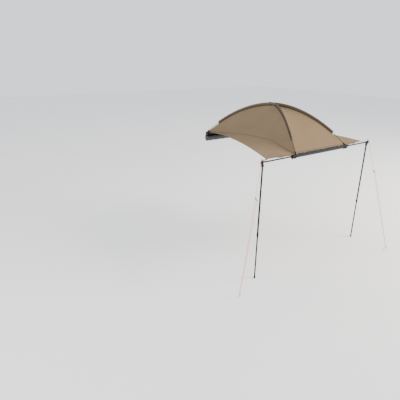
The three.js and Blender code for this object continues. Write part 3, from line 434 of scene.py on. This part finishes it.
# Aluminium of the rails, the legs and the arms
rail_metal = anodised_aluminium("anodised_rail", "#2a2b2c", "#3b3c3e")
leg_metal = anodised_aluminium("anodised_leg", "#0f1011", "#1a1b1c", way="Z", dyed=True)
arm_metal = anodised_aluminium("anodised_arm", "#151617", "#222324", dyed=True)
# Mouldings: hubs, guides, corners and knobs, the ropes' runners, the crossing clip, and rubber,
# whose black also paints the shade strip on the front rail
black_nylon = moulded_nylon("black_nylon", "#101011", "#1b1b1d")
runner_nylon = moulded_nylon("runner_nylon", "#453731", "#574840", rough=0.6)
grey_nylon = moulded_nylon("grey_nylon", "#5f5c58", "#75716b", rough=0.5)
black_rubber_and_shade = moulded_nylon("moulded_rubber_and_shade", "#151515", "#242424", rough=0.8)
# Steel of the bolts and pivot pins, of the pegs, and of the vehicle brackets
bright_zinc = plated_steel("zinc_plated_steel", "#a9acaf", "#c6c8ca")
peg_steel = plated_steel("galvanised_wire", "#2f3133", "#444648", metal=0.5, rough=0.45)
black_powder = plated_steel("powder_coated_steel", "#232426", "#323437", metal=0.0, rough=0.5)
# Bent poles, guy ropes and the storage bag
pole_rod = glass_fibre_rod("glass_fibre_rod")
orange_cord = braided_cord("orange_braided_cord", "#b83400", "#f05a00")
bag_cloth = pvc_cloth("bag_pvc_cloth")

FINISH = {
    "anodised": rail_metal, "black_plastic": black_nylon, "grey_plastic": grey_nylon,
    "zinc_steel": bright_zinc, "black_steel": black_powder, "glass_fibre": pole_rod,
    "tan_cloth": tan, "sleeve_cloth": sleeve_brown, "bag_cloth": bag_cloth,
    "webbing": dark_tape, "orange_rope": orange_cord, "rubber": black_rubber_and_shade,
}
for entry in frame["record"]["subparts"]:
    node = frame["nodes"][entry["node"]]
    finish = FINISH[entry["material_slot"]]
    if entry["node"].startswith("guy_runner"):
        finish = runner_nylon
    elif entry["node"].startswith("guy_peg"):
        finish = peg_steel
    # The front bead's near-black colour is painted shade of the groove it lies in.
    elif entry["node"] == "front_bead":
        finish = bead_tape_and_groove_shade
    for held in node.material_slots:
        held.material = finish


# Camera

def add_camera():
    """Stands where the photograph was taken from, by a fit to the rails, legs and rope ends."""
    eye = Vector((-4.9535, -5.867, 1.359))
    turn, tilt, roll = math.radians(54.52), math.radians(-20.78), math.radians(0.66)
    film, focal_pixels, picture_pixels = 36.0, 373.5, 400.0
    level = math.cos(tilt)
    ahead = Vector((math.cos(turn) * level, math.sin(turn) * level, math.sin(tilt)))
    right = ahead.cross(Vector((0, 0, 1))).normalized()
    up = right.cross(ahead)
    level_right = right * math.cos(roll) + up * math.sin(roll)
    level_up = up * math.cos(roll) - right * math.sin(roll)
    data = bpy.data.cameras.new("camera")
    data.sensor_width = film
    data.sensor_fit = "HORIZONTAL"
    data.lens = film * focal_pixels / picture_pixels
    camera = bpy.data.objects.new("camera", data)
    axes = Matrix((level_right, level_up, -ahead)).transposed().to_4x4()
    camera.matrix_world = Matrix.Translation(eye) @ axes
    bpy.context.collection.objects.link(camera)
    bpy.context.scene.camera = camera


add_camera()


# Guy ropes: down from the corner's knot, through the runner, round the peg's hook and up to the
# stopper knot behind the runner. The points are the CAD's.

ROPE_ROUTES = {
    "left": [
        (-1.3176, -2.2322, 0.0309), (-1.3504, -2.2489, -0.0961), (-1.3832, -2.2655, -0.2231),
        (-1.4159, -2.2822, -0.35), (-1.4487, -2.2988, -0.477), (-1.51, -2.331, -0.697),
        (-1.591, -2.374, -0.985), (-1.672, -2.416, -1.273), (-1.753, -2.458, -1.561),
        (-1.807, -2.4707, -1.772), (-1.8136, -2.473, -1.797), (-1.8173, -2.4788, -1.8084),
        (-1.8194, -2.4863, -1.81), (-1.82, -2.493, -1.8084), (-1.8184, -2.4969, -1.796),
        (-1.811, -2.4944, -1.771), (-1.75, -2.467, -1.557), (-1.668, -2.43, -1.269),
        (-1.585, -2.393, -0.978), (-1.502, -2.356, -0.687), (-1.4513, -2.3333, -0.5086),
        (-1.4475, -2.3316, -0.4952),
    ],
    "right": [
        (1.293, -2.2481, 0.031), (1.2937, -2.2916, -0.0961), (1.2945, -2.335, -0.2232),
        (1.2952, -2.3785, -0.3503), (1.2959, -2.422, -0.4774), (1.2964, -2.5, -0.69),
        (1.297, -2.602, -0.971), (1.2976, -2.704, -1.252), (1.2982, -2.806, -1.533),
        (1.295, -2.891, -1.7686), (1.294, -2.9028, -1.797), (1.2974, -2.9072, -1.808),
        (1.304, -2.9084, -1.8096), (1.3106, -2.9072, -1.808), (1.314, -2.9028, -1.797),
        (1.3143, -2.891, -1.7686), (1.317, -2.804, -1.529), (1.3204, -2.702, -1.247),
        (1.324, -2.6, -0.966), (1.3274, -2.498, -0.685), (1.3298, -2.4363, -0.5172),
        (1.33, -2.4315, -0.504),
    ],
}


def route_length(points):
    return sum((Vector(a) - Vector(b)).length for a, b in zip(points, points[1:]))


def overhand_knot(centre, size, way):
    """A tied knot: three lobes of cord round the rope's own line, pulled a little thin."""
    steps, depth, pulled_thin = 60, 1.6, 0.95
    lobes = []
    turn = Vector((0, 0, 1)).rotation_difference(Vector(way).normalized()).to_matrix()
    for i in range(steps + 1):
        q = 2 * math.pi * i / steps
        out = 2 + math.cos(3 * q)
        local = Vector((out * math.cos(2 * q), out * math.sin(2 * q), math.sin(3 * q) * depth))
        lobes.append(Vector(centre) + turn @ local * (size / 3))
    return sweep(lobes, ROPE_RADIUS * pulled_thin, sides=10)


def guy_rope(side):
    stopper_size = 0.0046
    route = ROPE_ROUTES[side]
    body = f"arm_{side}"
    rope = piece(f"rope_{side}", sweep(route, ROPE_RADIUS, sides=12), orange_cord, body)
    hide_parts(f"guy_rope_{side}")
    end, before = Vector(route[-1]), Vector(route[-2])
    stopper = piece(f"rope_stopper_{side}", overhand_knot(end, stopper_size, end - before),
                    orange_cord, body)
    route_length(route)


def guy_loop(side):
    """The spliced eye over the corner's post, and the knot that the rope leaves from."""
    eye_level, eye_radius, eye_steps = 0.0395, 0.0078, 24
    eye_from, eye_turn = 55, 250
    knot_out, knot_drop, knot_size = 0.026, 0.0025, 0.0075
    inside, apart = 0.003, 0.001
    sign = -1 if side == "left" else 1
    start, after = (Vector(p) for p in ROPE_ROUTES[side][:2])
    post = Vector((sign * CORNER_X, -REACH, eye_level))
    way = (after - start).normalized()
    flat = Vector((way.x, way.y, 0)).normalized()
    cross = Vector((-flat.y, flat.x, 0))
    knot = post + flat * knot_out + Vector((0, 0, -knot_drop))
    points = [knot - flat * inside + cross * apart]
    for i in range(eye_steps + 1):
        q = math.radians(eye_from + eye_turn * i / eye_steps)
        points.append(post + (flat * math.cos(q) + cross * math.sin(q)) * eye_radius)
    points.append(knot - flat * inside - cross * apart)
    loop = piece(f"rope_eye_{side}", sweep(points, ROPE_RADIUS, sides=10), orange_cord,
                 f"arm_{side}")
    tied = piece(f"rope_knot_{side}", overhand_knot(knot, knot_size, way), orange_cord,
                 f"arm_{side}")
    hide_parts(f"guy_loop_{side}")


for side in ("left", "right"):
    guy_rope(side)
    guy_loop(side)


# Where the cloth and the poles lie. A share runs from 0 at the crossing to 1 at a pole's foot.

def pole_level(share, lift=0.0):
    return POLE_FOOT_LEVEL + (DOME_RISE + lift - POLE_FOOT_LEVEL) * (1 - share ** ARCH_POWER)


def pole_slope(share):
    return (DOME_RISE - POLE_FOOT_LEVEL) * ARCH_POWER * share ** (ARCH_POWER - 1) / POLE_SPAN


def ridge_level(share):
    """The cloth's level below a pole, down to the edge's level past the sleeve's end."""
    drop = RIDGE_ROOM * math.hypot(1, pole_slope(share))
    past = max(share - SLEEVE_END, 0) / (1 - SLEEVE_END)
    return pole_level(share) - mix(drop, POLE_FOOT_LEVEL - EDGE_LEVEL, smooth(past))


def pull_folds(share, across):
    """Small tight folds that fan out from the cloth's corners, where it is pulled most."""
    start, depth, narrowing = 0.72, 0.0022, 2.2
    fan, drift = 46, 9
    reach = max(share - start, 0) / (1 - start)
    near = max(1 - abs(across - 1) * narrowing, 0)
    return depth * reach * near * math.sin(across * fan + share * drift)


def dome_point(u, v):
    """A point of the dome: u and v run from -1 to 1, left to right and front to vehicle."""
    share = max(abs(u), abs(v))
    across = min(abs(u), abs(v)) / share if share > 1e-9 else 0.0
    inner = 4 * share * (1 - share)
    y = DOME_CENTRE_Y + v * DOME_HALF
    if abs(v) >= abs(u):
        dip = PANEL_DIP * inner * (1 - across ** 2)
        return Vector((u * POLE_FOOT_X, y, ridge_level(share) - dip + pull_folds(share, across)))
    along = (1 - v / share) / 2
    arch = (smooth(clamped(along / SEAM_VEHICLE_SHARE))
            * smooth(clamped((1 - along) / SEAM_FRONT_SHARE)))
    bulge = SEAM_BULGE * share ** 4 * (1 - across ** 2)
    dip = PANEL_DIP * inner * 2 * along * (1 - along)
    z = ridge_level(share) + SEAM_ARCH * share ** 4 * arch - dip
    x = u * POLE_FOOT_X + math.copysign(bulge, u)
    return Vector((x, y, z + pull_folds(share, across)))


def wing_point(sign, a, v):
    """a runs from the seam to the free edge, v from -1 at the front to 1 at the vehicle."""
    folds, seam_room = 22, 0.0006
    along = (1 - v) / 2
    belly = 4 * along * (1 - along)
    middle = 4 * a * (1 - a)
    seam = dome_point(1, v)
    start = Vector((WING_START_X, -RAIL_DEPTH / 2, EDGE_LEVEL))
    tip = Vector(WING_TIP)
    edge = start.lerp(tip, along)
    run = Vector((tip.x - start.x, tip.y - start.y))
    edge.x += WING_EDGE_CUT * belly * run.y / run.length
    edge.y -= WING_EDGE_CUT * belly * run.x / run.length
    edge.z += WING_EDGE_ARCH * belly
    point = seam.lerp(edge, a)
    point.z += (EDGE_LEVEL - WING_TIP[2]) * along * a * (1 - a) - WING_DIP * middle * belly
    point.z += WING_FOLD * along ** 3 * math.sin(a * folds) * middle
    point.x = sign * (point.x + seam_room * (1 - a))
    return point


def pole_frame(way):
    """The dome's centre and the directions along and across a pole. The lower pole, a, has a way
    of -1: its end on the left is the vehicle's. The upper one, b, has 1."""
    along = Vector((POLE_FOOT_X, way * DOME_HALF, 0)) / POLE_SPAN
    return Vector((0, DOME_CENTRE_Y, 0)), along, Vector((-along.y, along.x, 0))


# Canopy

def dome_cloth():
    cuts = []
    for su in (-1, 1):
        for sv in (-1, 1):
            corner = (su * (1 - NOTCH / POLE_FOOT_X), sv)
            cuts.append((corner, (su * POLE_FOOT_X, sv * DOME_HALF)))
    bm = sheet_mesh(128, 128, dome_point, (-1, 1), (-1, 1), cuts)
    dome = piece("dome_cloth", bm, tan, "canopy_frame")
    thicken(dome, CLOTH)
    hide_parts("canopy_dome")
    return dome


def strip(name, point, s_range, t_range, material, body, thickness=HEM, cells=(6, 120)):
    made = piece(name, sheet_mesh(*cells, point, s_range, t_range), material, body)
    thicken(made, thickness)
    return made


def wing_cloth(side, sign):
    """A wing with its edge tape, its front hem and the flap that hangs below the hem. Its corners
    at the seam are cut clear of the front hub and of the pole's socket."""
    cuts = [((0.0, -0.98), (-0.02, -0.035)), ((0.0, 0.978), (-0.022, 0.72))]
    tape_from, hem_from, hem_depth = 0.975, 0.04, 0.015
    flap_from, flap_to = 0.06, 0.72
    fades_in, fades_out = 0.1, 0.14
    least_hang, level_drop = 0.002, 0.001
    sway, sway_change, sway_waves = 0.0015, 0.0012, 31

    def point(a, v):
        return wing_point(sign, a, v)

    def valance(a, t):
        hang = (smooth(clamped((a - flap_from) / fades_in))
                * smooth(clamped((flap_to - a) / fades_out)))
        swing = (sway + sway_change * math.sin(a * sway_waves)) * t
        drop = level_drop + (least_hang + WING_VALANCE * hang) * t
        return point(a, -1) - Vector((0, swing, drop))

    bm = sheet_mesh(60, 120, point, (0, 1), (-1, 1), cuts)
    wing = piece(f"wing_cloth_{side}", bm, tan)
    thicken(wing, CLOTH)
    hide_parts(f"canopy_wing_{side}")
    edge = strip(f"wing_edge_tape_{side}", point, (tape_from, 1), (-1, 1), hem_tape, None)
    front = strip(f"wing_front_hem_{side}", point, (hem_from, 1), (-1, hem_depth - 1), hem_tape,
                  None, cells=(60, 3))
    flap = strip(f"wing_valance_{side}", valance, (flap_from, flap_to), (0, 1), tan, None,
                 thickness=VALANCE_CLOTH, cells=(48, 6))
    for made in (wing, edge, front, flap):
        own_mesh(made)
        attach(made, "canopy_frame")
    return wing, edge, front, flap


def seam_strip(side, sign):
    """The tape over the seam between the dome and a wing, from s = -1 on the dome to 1 on the
    wing."""
    on_the_dome, on_the_wing, length = 0.985, 0.02, 0.982

    def point(s, v):
        here = dome_point(sign, v)
        inner_v = v * on_the_dome if abs(v) > on_the_dome else v
        if s < 0:
            return here.lerp(dome_point(sign * on_the_dome, inner_v), -s)
        return here.lerp(wing_point(sign, on_the_wing, v), s)

    return strip(f"seam_tape_{side}", point, (-1, 1), (-length, length), seam_tape,
                 "canopy_frame")


def end_hem(name, sign):
    """The hem along the dome's front or vehicle edge."""
    length, inner = 0.968, 0.982
    return strip(name, dome_point, (-length, length), tuple(sorted((sign, sign * inner))),
                 hem_tape, "canopy_frame", cells=(90, 3))


def on_sleeve(way, sign, share, up, aside):
    """A point of a sleeve: share of the way out, height over the pole's middle square to its arc,
    and place to the side."""
    centre, along, across = pole_frame(way)
    lean = math.atan(pole_slope(share))
    out = share * POLE_SPAN + up * math.sin(lean)
    place = centre + along * (sign * out) + across * aside
    place.z = pole_level(share, way * POLE_STACK / 2) + up * math.cos(lean)
    return place


def sleeve_share(s):
    return mix(SLEEVE_START, SLEEVE_END, s)


def on_dome(place, lift):
    """The point of the dome's cloth above or below a place, raised by lift."""
    u, v = place.x / POLE_FOOT_X, (place.y - DOME_CENTRE_Y) / DOME_HALF
    return Vector((place.x, place.y, dome_point(u, v).z + lift))


def pole_sleeve(end, way, sign):
    """The tunnel that a pole slides into: a band of knitted mesh with a flap on each side that
    is sewn down on the cloth."""
    tunnel, opening, far_edge = 0.0069, -48, 228
    flap, flap_reach, flap_lift = 0.09, 0.0105, 0.0012
    slack, waves, skew = 0.0004, 260, 9

    def point(s, t):
        share = sleeve_share(s)
        past = max(flap - t, t - (1 - flap), 0) / flap
        turn = math.radians(mix(opening, far_edge, clamped((t - flap) / (1 - 2 * flap))))
        aside = tunnel * math.cos(turn) + slack * math.sin(share * waves + t * skew)
        wall = on_sleeve(way, sign, share, tunnel * math.sin(turn), aside)
        if not past:
            return wall
        foot = on_sleeve(way, sign, share, 0, math.copysign(flap_reach, math.cos(turn)))
        return wall.lerp(on_dome(foot, flap_lift), past)

    made = piece(f"sleeve_{end}", sheet_mesh(120, 22, point), sleeve_mesh, "canopy_frame")
    thicken(made, SLEEVE_MESH)
    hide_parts(f"pole_sleeve_{end}")
    return made


def sleeve_fin(end, way, sign):
    """The flap of doubled canopy cloth that stands on the sleeve, with a stitched hem."""
    foot, level_from = 0.0062, 0.25
    hem_from, hem_to = 0.80, 0.99
    sway, sway_waves, flutter, flutter_waves = 0.0016, 95, 0.0004, 230

    def point(s, t):
        share = sleeve_share(s)
        top = mix(FIN_AT_CROSSING, FIN_AT_END, s)
        if way > 0:
            top -= UPPER_FIN_DROP * (1 - smooth(clamped(s / level_from)))
        aside = (sway * math.sin(share * sway_waves + way) * t
                 + flutter * math.sin(share * flutter_waves) * t)
        return on_sleeve(way, sign, share, mix(foot, top, t), aside)

    made = piece(f"sleeve_fin_{end}", sheet_mesh(120, 10, point), sleeve_brown, "canopy_frame")
    thicken(made, FIN_CLOTH)
    bm = sheet_mesh(120, 3, point, (0, 1), (hem_from, hem_to))
    hem = piece(f"sleeve_fin_hem_{end}", bm, hem_tape, "canopy_frame")
    thicken(hem, FIN_HEM)
    return made, hem


def fin_bridge(way):
    """Where the fin of the lower pole runs on over the crossing, clear of the clip."""
    foot, overlap = 0.0215, 1.02
    sway, sway_waves = 0.0008, 3

    def point(s, t):
        return on_sleeve(way, 1 if s > 0 else -1, abs(s) * SLEEVE_START,
                         mix(foot, FIN_AT_CROSSING, t), sway * math.sin(s * sway_waves) * t)

    bm = sheet_mesh(16, 6, point, (-overlap, overlap), (0, 1))
    made = piece("sleeve_fin_bridge", bm, sleeve_brown, "canopy_frame")
    thicken(made, FIN_CLOTH)
    return made


def sleeve_tab(end, way, sign):
    """The pale webbing tab that ties the sleeve's end round the pole."""
    radius, before_end, width = 0.0082, 0.006, 0.010
    turn_from, turn_to = -40, 220

    def point(s, t):
        turn = math.radians(mix(turn_from, turn_to, t))
        return on_sleeve(way, sign, SLEEVE_END - before_end + width * s,
                         radius * math.sin(turn), radius * math.cos(turn))

    made = piece(f"sleeve_tab_{end}", sheet_mesh(6, 16, point), pale_tape, "canopy_frame")
    thicken(made, TAB_TAPE)


def dome_pole(letter, way):
    steps = 120
    centre, along, _ = pole_frame(way)
    points = []
    for i in range(steps + 1):
        share = -1 + 2 * i / steps
        point = centre + along * (share * POLE_SPAN)
        point.z = pole_level(abs(share), way * POLE_STACK / 2)
        points.append(point)
    pole = piece(f"bent_pole_{letter}", sweep(points, POLE_RADIUS, sides=20), pole_rod,
                 "canopy_frame")
    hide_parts(f"dome_pole_{letter}")


def crossing_clip():
    """The round clip that holds the poles together: rounded rims, a parting line round the middle
    and a groove in the upper face."""
    half, radius, rim = 0.0135, 0.020, 0.003
    groove_in, groove_out, wall, step = 0.004, 0.008, 0.0005, 0.0012
    inset, part, part_edge = 0.0008, 0.0006, 0.0009
    profile = [(0, half), (groove_in, half), (groove_in + wall, half - step),
               (groove_out - wall, half - step), (groove_out, half), (radius - rim, half),
               (radius - inset, half - step), (radius, half - rim), (radius, part_edge),
               (radius - inset, part), (radius - inset, -part), (radius, -part_edge),
               (radius, rim - half), (radius - inset, step - half), (radius - rim, -half),
               (0, -half)]
    clip = piece("pole_clip", turned(profile, (0, DOME_CENTRE_Y, DOME_RISE)), grey_nylon,
                 "canopy_frame")
    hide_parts("pole_crossing_clip")


dome = dome_cloth()
seams = [seam_strip("left", -1), seam_strip("right", 1)]
hems = [end_hem("front_hem", -1), end_hem("vehicle_hem", 1)]
for side, sign in (("left", -1), ("right", 1)):
    wing, *hems_and_flap = wing_cloth(side, sign)
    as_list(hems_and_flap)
bridge = fin_bridge(-1)
for end, way, sign in (("vehicle_left", -1, -1), ("front_right", -1, 1),
                       ("front_left", 1, -1), ("vehicle_right", 1, 1)):
    letter, cut_width = ("a", 0.060) if way < 0 else ("b", 0.0735)
    pole_sleeve(end, way, sign)
    fin, hem = sleeve_fin(end, way, sign)
    sleeve_tab(end, way, sign)
for letter, way in (("a", -1), ("b", 1)):
    dome_pole(letter, way)
crossing_clip()


# Storage bag

# The bag's wall, as distances from the rail's middle in Y and levels: down the back, round the
# floor and up to the lip
BAG_LINE = [(0.014, -0.030), (0.020, -0.0703), (0.014, -0.1106), (-0.012, -0.1386),
            (-0.0446, -0.142), (-0.0677, -0.114), (-0.072, -0.077), (-0.0641, -0.0524)]


def spline(a, b, c, d, f):
    """A smooth line through b and c, at the share f between them."""
    return 0.5 * (2 * b + (c - a) * f + (2 * a - 5 * b + 4 * c - d) * f ** 2
                  + (3 * b - a - 3 * c + d) * f ** 3)


def on_bag(t):
    """Y and level of the bag's wall, from 0 at the back's top to 1 at the lip."""
    last = len(BAG_LINE) - 1
    line = [(-RAIL_DEPTH / 2 + y, z) for y, z in BAG_LINE]
    place = clamped(t) * last
    i = min(int(place), last - 1)
    near = [line[max(min(k, last), 0)] for k in (i - 1, i, i + 1, i + 2)]
    return tuple(spline(*values, place - i) for values in zip(*near))


def storage_bag():
    half, end_room, seam_inset = 0.664, 0.0006, 0.012
    rim_steps, lip_steps = 24, 20
    piping_radius, lip_radius = 0.0024, 0.0026
    long_sag, long_waves, short_sag, short_waves = 0.003, 41, 0.002, 97
    flange_half, flange_back, flange_front = 0.56, 0.014, 0.016
    flange_low, flange_high = -0.033, -0.0265

    def wall(s, t):
        y, z = on_bag(t)
        sag = long_sag * math.sin(s * long_waves) + short_sag * math.sin(s * short_waves + 2)
        slack = math.sin(math.pi * t) * sag
        return Vector((s, y, z - slack * (1 - (s / half) ** 8)))

    bag = piece("bag_wall", sheet_mesh(160, 40, wall, (-half, half), (0, 1)), bag_cloth,
                "canopy_frame")
    thicken(bag, BAG_CLOTH)
    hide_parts("storage_bag")
    made = []
    rim = [on_bag(i / rim_steps) for i in range(rim_steps + 1)]
    for side, sign in (("left", -1), ("right", 1)):
        bm = bmesh.new()
        verts = [bm.verts.new((sign * (half + end_room), y, z)) for y, z in rim]
        face = bmesh.ops.contextual_create(bm, geom=verts)["faces"]
        bmesh.ops.inset_region(bm, faces=face, thickness=seam_inset)
        panel = piece(f"bag_end_{side}", bm, bag_cloth, "canopy_frame", rounded=False)
        thicken(panel, BAG_CLOTH)
        points = [(sign * half, y, z) for y, z in rim]
        piping = piece(f"bag_piping_{side}", sweep(points, piping_radius, sides=10), bag_cloth,
                       "canopy_frame")
        made += [panel, piping]
    lip = [(x / lip_steps * half, *on_bag(1.0)) for x in range(-lip_steps, lip_steps + 1)]
    cord = piece("bag_lip_cord", sweep(lip, lip_radius, sides=10), bag_cloth, "canopy_frame")

    def flange(s, t):
        back = -RAIL_DEPTH / 2 + flange_back
        y = back if t < 0.5 else mix(back, -RAIL_DEPTH / 2 - flange_front, (t - 0.5) * 2)
        return Vector((s, y, mix(flange_low, flange_high, min(t * 2, 1))))

    top = piece("bag_flange", sheet_mesh(8, 8, flange, (-flange_half, flange_half), (0, 1)),
                bag_cloth, "canopy_frame")
    thicken(top, FLANGE_CLOTH)


storage_bag()


# Painted shade on the front rail: a dark strip where the cloth's overhang shades the rail's upper
# edge

def rail_shade_strip():
    """A dark sheet along the front rail's upper edge, below the cloth's bead: painted shade where
    the cloth's overhang shades the rail.
    """
    half, low, high = 0.585, 0.0085, 0.0225
    proud, crown = 0.0005, 0.0006

    def point(x, t):
        y = -REACH - RAIL_DEPTH / 2 - proud - crown * math.sin(math.pi * t)
        return Vector((x, y, mix(low, high, t)))

    # The strip's near-black rubber colour is painted shade on the rail's upper edge.
    made = piece("rail_shade_strip", sheet_mesh(60, 6, point, (-half, half), (0, 1)), black_rubber_and_shade,
                 "canopy_frame")
    thicken(made, SHADE_STRIP)


rail_shade_strip()


# Round tubes of the arms and legs

def node_ends(node, axis):
    """The ends of a node's box along an axis, and its radius."""
    low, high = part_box(node)
    centre = [(a + b) / 2 for a, b in zip(low, high)]
    start, end = list(centre), list(centre)
    start[axis], end[axis] = low[axis], high[axis]
    other = 1 if axis != 1 else 0
    return Vector(start), Vector(end), (high[other] - low[other]) / 2


def capped_tube(node, axis, material, body):
    """A drawn tube with a small edge radius at each end."""
    start, end, radius = node_ends(node, axis)
    way = (end - start).normalized()
    edge = 0.0006
    points = [start, start + way * edge, end - way * edge, end]
    bm = sweep(points, [radius - edge, radius, radius, radius - edge], sides=40)
    tube = piece(f"drawn_{node}", bm, material, body)
    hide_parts(node)


for side in ("left", "right"):
    for part, axis, body, metal in (("arm_tube", 0, "arm", arm_metal),
                                    ("leg_upper_tube", 2, "upper_leg", leg_metal),
                                    ("leg_lower_tube", 2, "lower_leg", leg_metal)):
        capped_tube(f"{part}_{side}", axis, metal, f"{body}_{side}")


# Small round fittings, finer than their solids. Each stands on its node's box.

def ringed(bm, centre, shape):
    """Scales each point's distance from the vertical line through centre by shape, which is given
    the point's angle, radius and height over centre."""
    for vert in bm.verts:
        x, y = vert.co.x - centre[0], vert.co.y - centre[1]
        factor = shape(math.atan2(y, x), math.hypot(x, y), vert.co.z - centre[2])
        vert.co.x, vert.co.y = centre[0] + x * factor, centre[1] + y * factor
    return bm


def stand(node):
    """The middle of a node's foot and its height."""
    low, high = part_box(node)
    return ((low[0] + high[0]) / 2, (low[1] + high[1]) / 2, low[2]), high[2] - low[2]


def fitting(name, node, bm, material, body):
    made = piece(name, bm, material, body)
    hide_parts(node)


def rubber_foot(side):
    """The leg's foot: a cup with a rounded tread and four thin grip rings."""
    centre, top = stand(f"leg_foot_{side}")
    tread, neck, bore, sole, ring = 0.014, 0.0124, 0.0108, 0.0054, 0.0006
    first_ring, ring_pitch = 0.011, 0.0045
    dent, dent_in, dent_out = 0.0008, 0.006, 0.0066
    tread_edge, tread_low, tread_high, shoulder = 0.0022, 0.0024, 0.0056, 0.0082
    profile = [(0, dent), (dent_in, dent), (dent_out, 0), (tread - tread_edge, 0),
               (tread - 0.0006, 0.0008), (tread, tread_low), (tread, tread_high),
               (neck + 0.0003, shoulder)]
    for i in range(4):
        low = first_ring + ring_pitch * i
        profile += [(neck, low), (neck + ring, low + ring), (neck + ring, low + 3 * ring),
                    (neck, low + 4 * ring)]
    profile += [(neck, top - 0.001), (neck - 0.0006, top), (bore, top), (bore, sole), (0, sole)]
    fitting(f"rubber_foot_{side}", f"leg_foot_{side}", turned(profile, centre, 64), black_rubber_and_shade,
            f"lower_leg_{side}")


def twist_lock(side):
    """The ring that locks the leg's length, with six rounded ribs for the hand. It turns on the
    upper tube, whose end it clears by 0.3 mm."""
    centre, top = stand(f"leg_lock_{side}")
    rim, waist, bore, room, edge = 0.0144, 0.0155, 0.0109, 0.0129, 0.0006
    clearance = 0.0003
    low, high, ledge = top / 6, top * 5 / 6, top / 2 - clearance
    rib, fade_over, rib_sharpness = 0.00095, 0.004, 4
    rows = 12
    profile = [(bore, 0), (rim - edge, 0), (rim, edge), (waist, low), (waist, low + 2 * edge)]
    profile += [(waist, low + (high - low) * i / rows) for i in range(1, rows)]
    profile += [(waist, high - 2 * edge), (waist, high), (rim, top - edge), (rim - edge, top),
                (room, top), (room, ledge), (bore, ledge), (bore, 0)]

    def ribs(angle, radius, level):
        if radius <= waist - edge / 2:
            return 1
        crest = max(math.cos(6 * angle), 0) ** rib_sharpness
        fade = (smooth(clamped((level - low) / fade_over))
                * smooth(clamped((high - level) / fade_over)))
        return 1 + rib / waist * crest * fade

    bm = ringed(turned(profile, centre, 120), centre, ribs)
    fitting(f"twist_lock_{side}", f"leg_lock_{side}", bm, black_nylon, f"leg_lock_{side}")


def star_knob(kind, side):
    """A clamping knob: a head with six lobes and rounded edges on a neck and a stem."""
    centre, top = stand(f"{kind}_{side}")
    head, height, neck, stem, lobe, edge = 0.012, 0.011, 0.006, 0.003, 0.0034, 0.0014
    bevel, fillet, collar, tip = edge * 0.3, 0.0008, 0.003, 0.0005
    dent_in, dent_out = 0.0042, 0.005
    profile = [(0, tip), (dent_in, tip), (dent_out, 0), (head - edge, 0), (head - bevel, bevel),
               (head, edge), (head, height - edge), (head - bevel, height - bevel),
               (head - edge, height), (neck + fillet, height), (neck, height + fillet),
               (neck, height + collar), (stem, height + collar), (stem, top - tip),
               (stem - tip, top), (0, top)]

    def lobes(angle, radius, _):
        out = clamped((radius - neck) / (head - edge - neck))
        return 1 - out * lobe / 2 / head * (1 - math.cos(6 * angle))

    bm = ringed(turned(profile, centre, 144), centre, lobes)
    fitting(f"star_{kind}_{side}", f"{kind}_{side}", bm, black_nylon, f"{kind}_{side}")


for side in ("left", "right"):
    rubber_foot(side)
    twist_lock(side)
    for kind in ("hub_knob", "arm_knob"):
        star_knob(kind, side)


# Floor and light

def plain_floor():
    half = 30
    bm = bmesh.new()
    bmesh.ops.create_grid(bm, x_segments=1, y_segments=1, size=half)
    bmesh.ops.translate(bm, vec=(0, 0, -STAND), verts=bm.verts[:])
    material, tree, shader, place = new_material("pale_floor", Roughness=0.9)
    cloud = add_node(tree, "ShaderNodeTexNoise", {"Vector": place["Object"]}, Scale=0.6,
                     Detail=2.0)
    add_colour(tree, shader, cloud.outputs["Fac"], "#f4f4f3", "#f9f9f8")
    floor = piece("floor", bm, material)


def soft_light(name, place, aim, size, power, colour):
    data = bpy.data.lights.new(name, "AREA")
    data.color = linear(colour)[:3]
    data.size = size
    data.energy = power
    lamp = bpy.data.objects.new(name, data)
    lamp.location = place
    way = Vector(aim) - Vector(place)
    lamp.rotation_euler = way.to_track_quat("-Z", "Y").to_euler()
    bpy.context.collection.objects.link(lamp)


def studio():
    """An even pale sky, a warm key from the right and a weak cool fill from the left."""
    world = bpy.data.worlds.new("studio")
    bpy.context.scene.world = world
    world.use_nodes = True
    backdrop = world.node_tree.nodes["Background"]
    backdrop.inputs["Color"].default_value = linear("#f6f9ff")
    backdrop.inputs["Strength"].default_value = 1.4
    middle = (0, DOME_CENTRE_Y, 0)
    soft_light("key", (7.8, -7.6, 5.7), middle, size=7.0, power=2500, colour="#fff4e6")
    soft_light("fill", (-8.2, -2.6, 1.5), middle, size=5.0, power=250, colour="#eef3ff")


plain_floor()
studio()
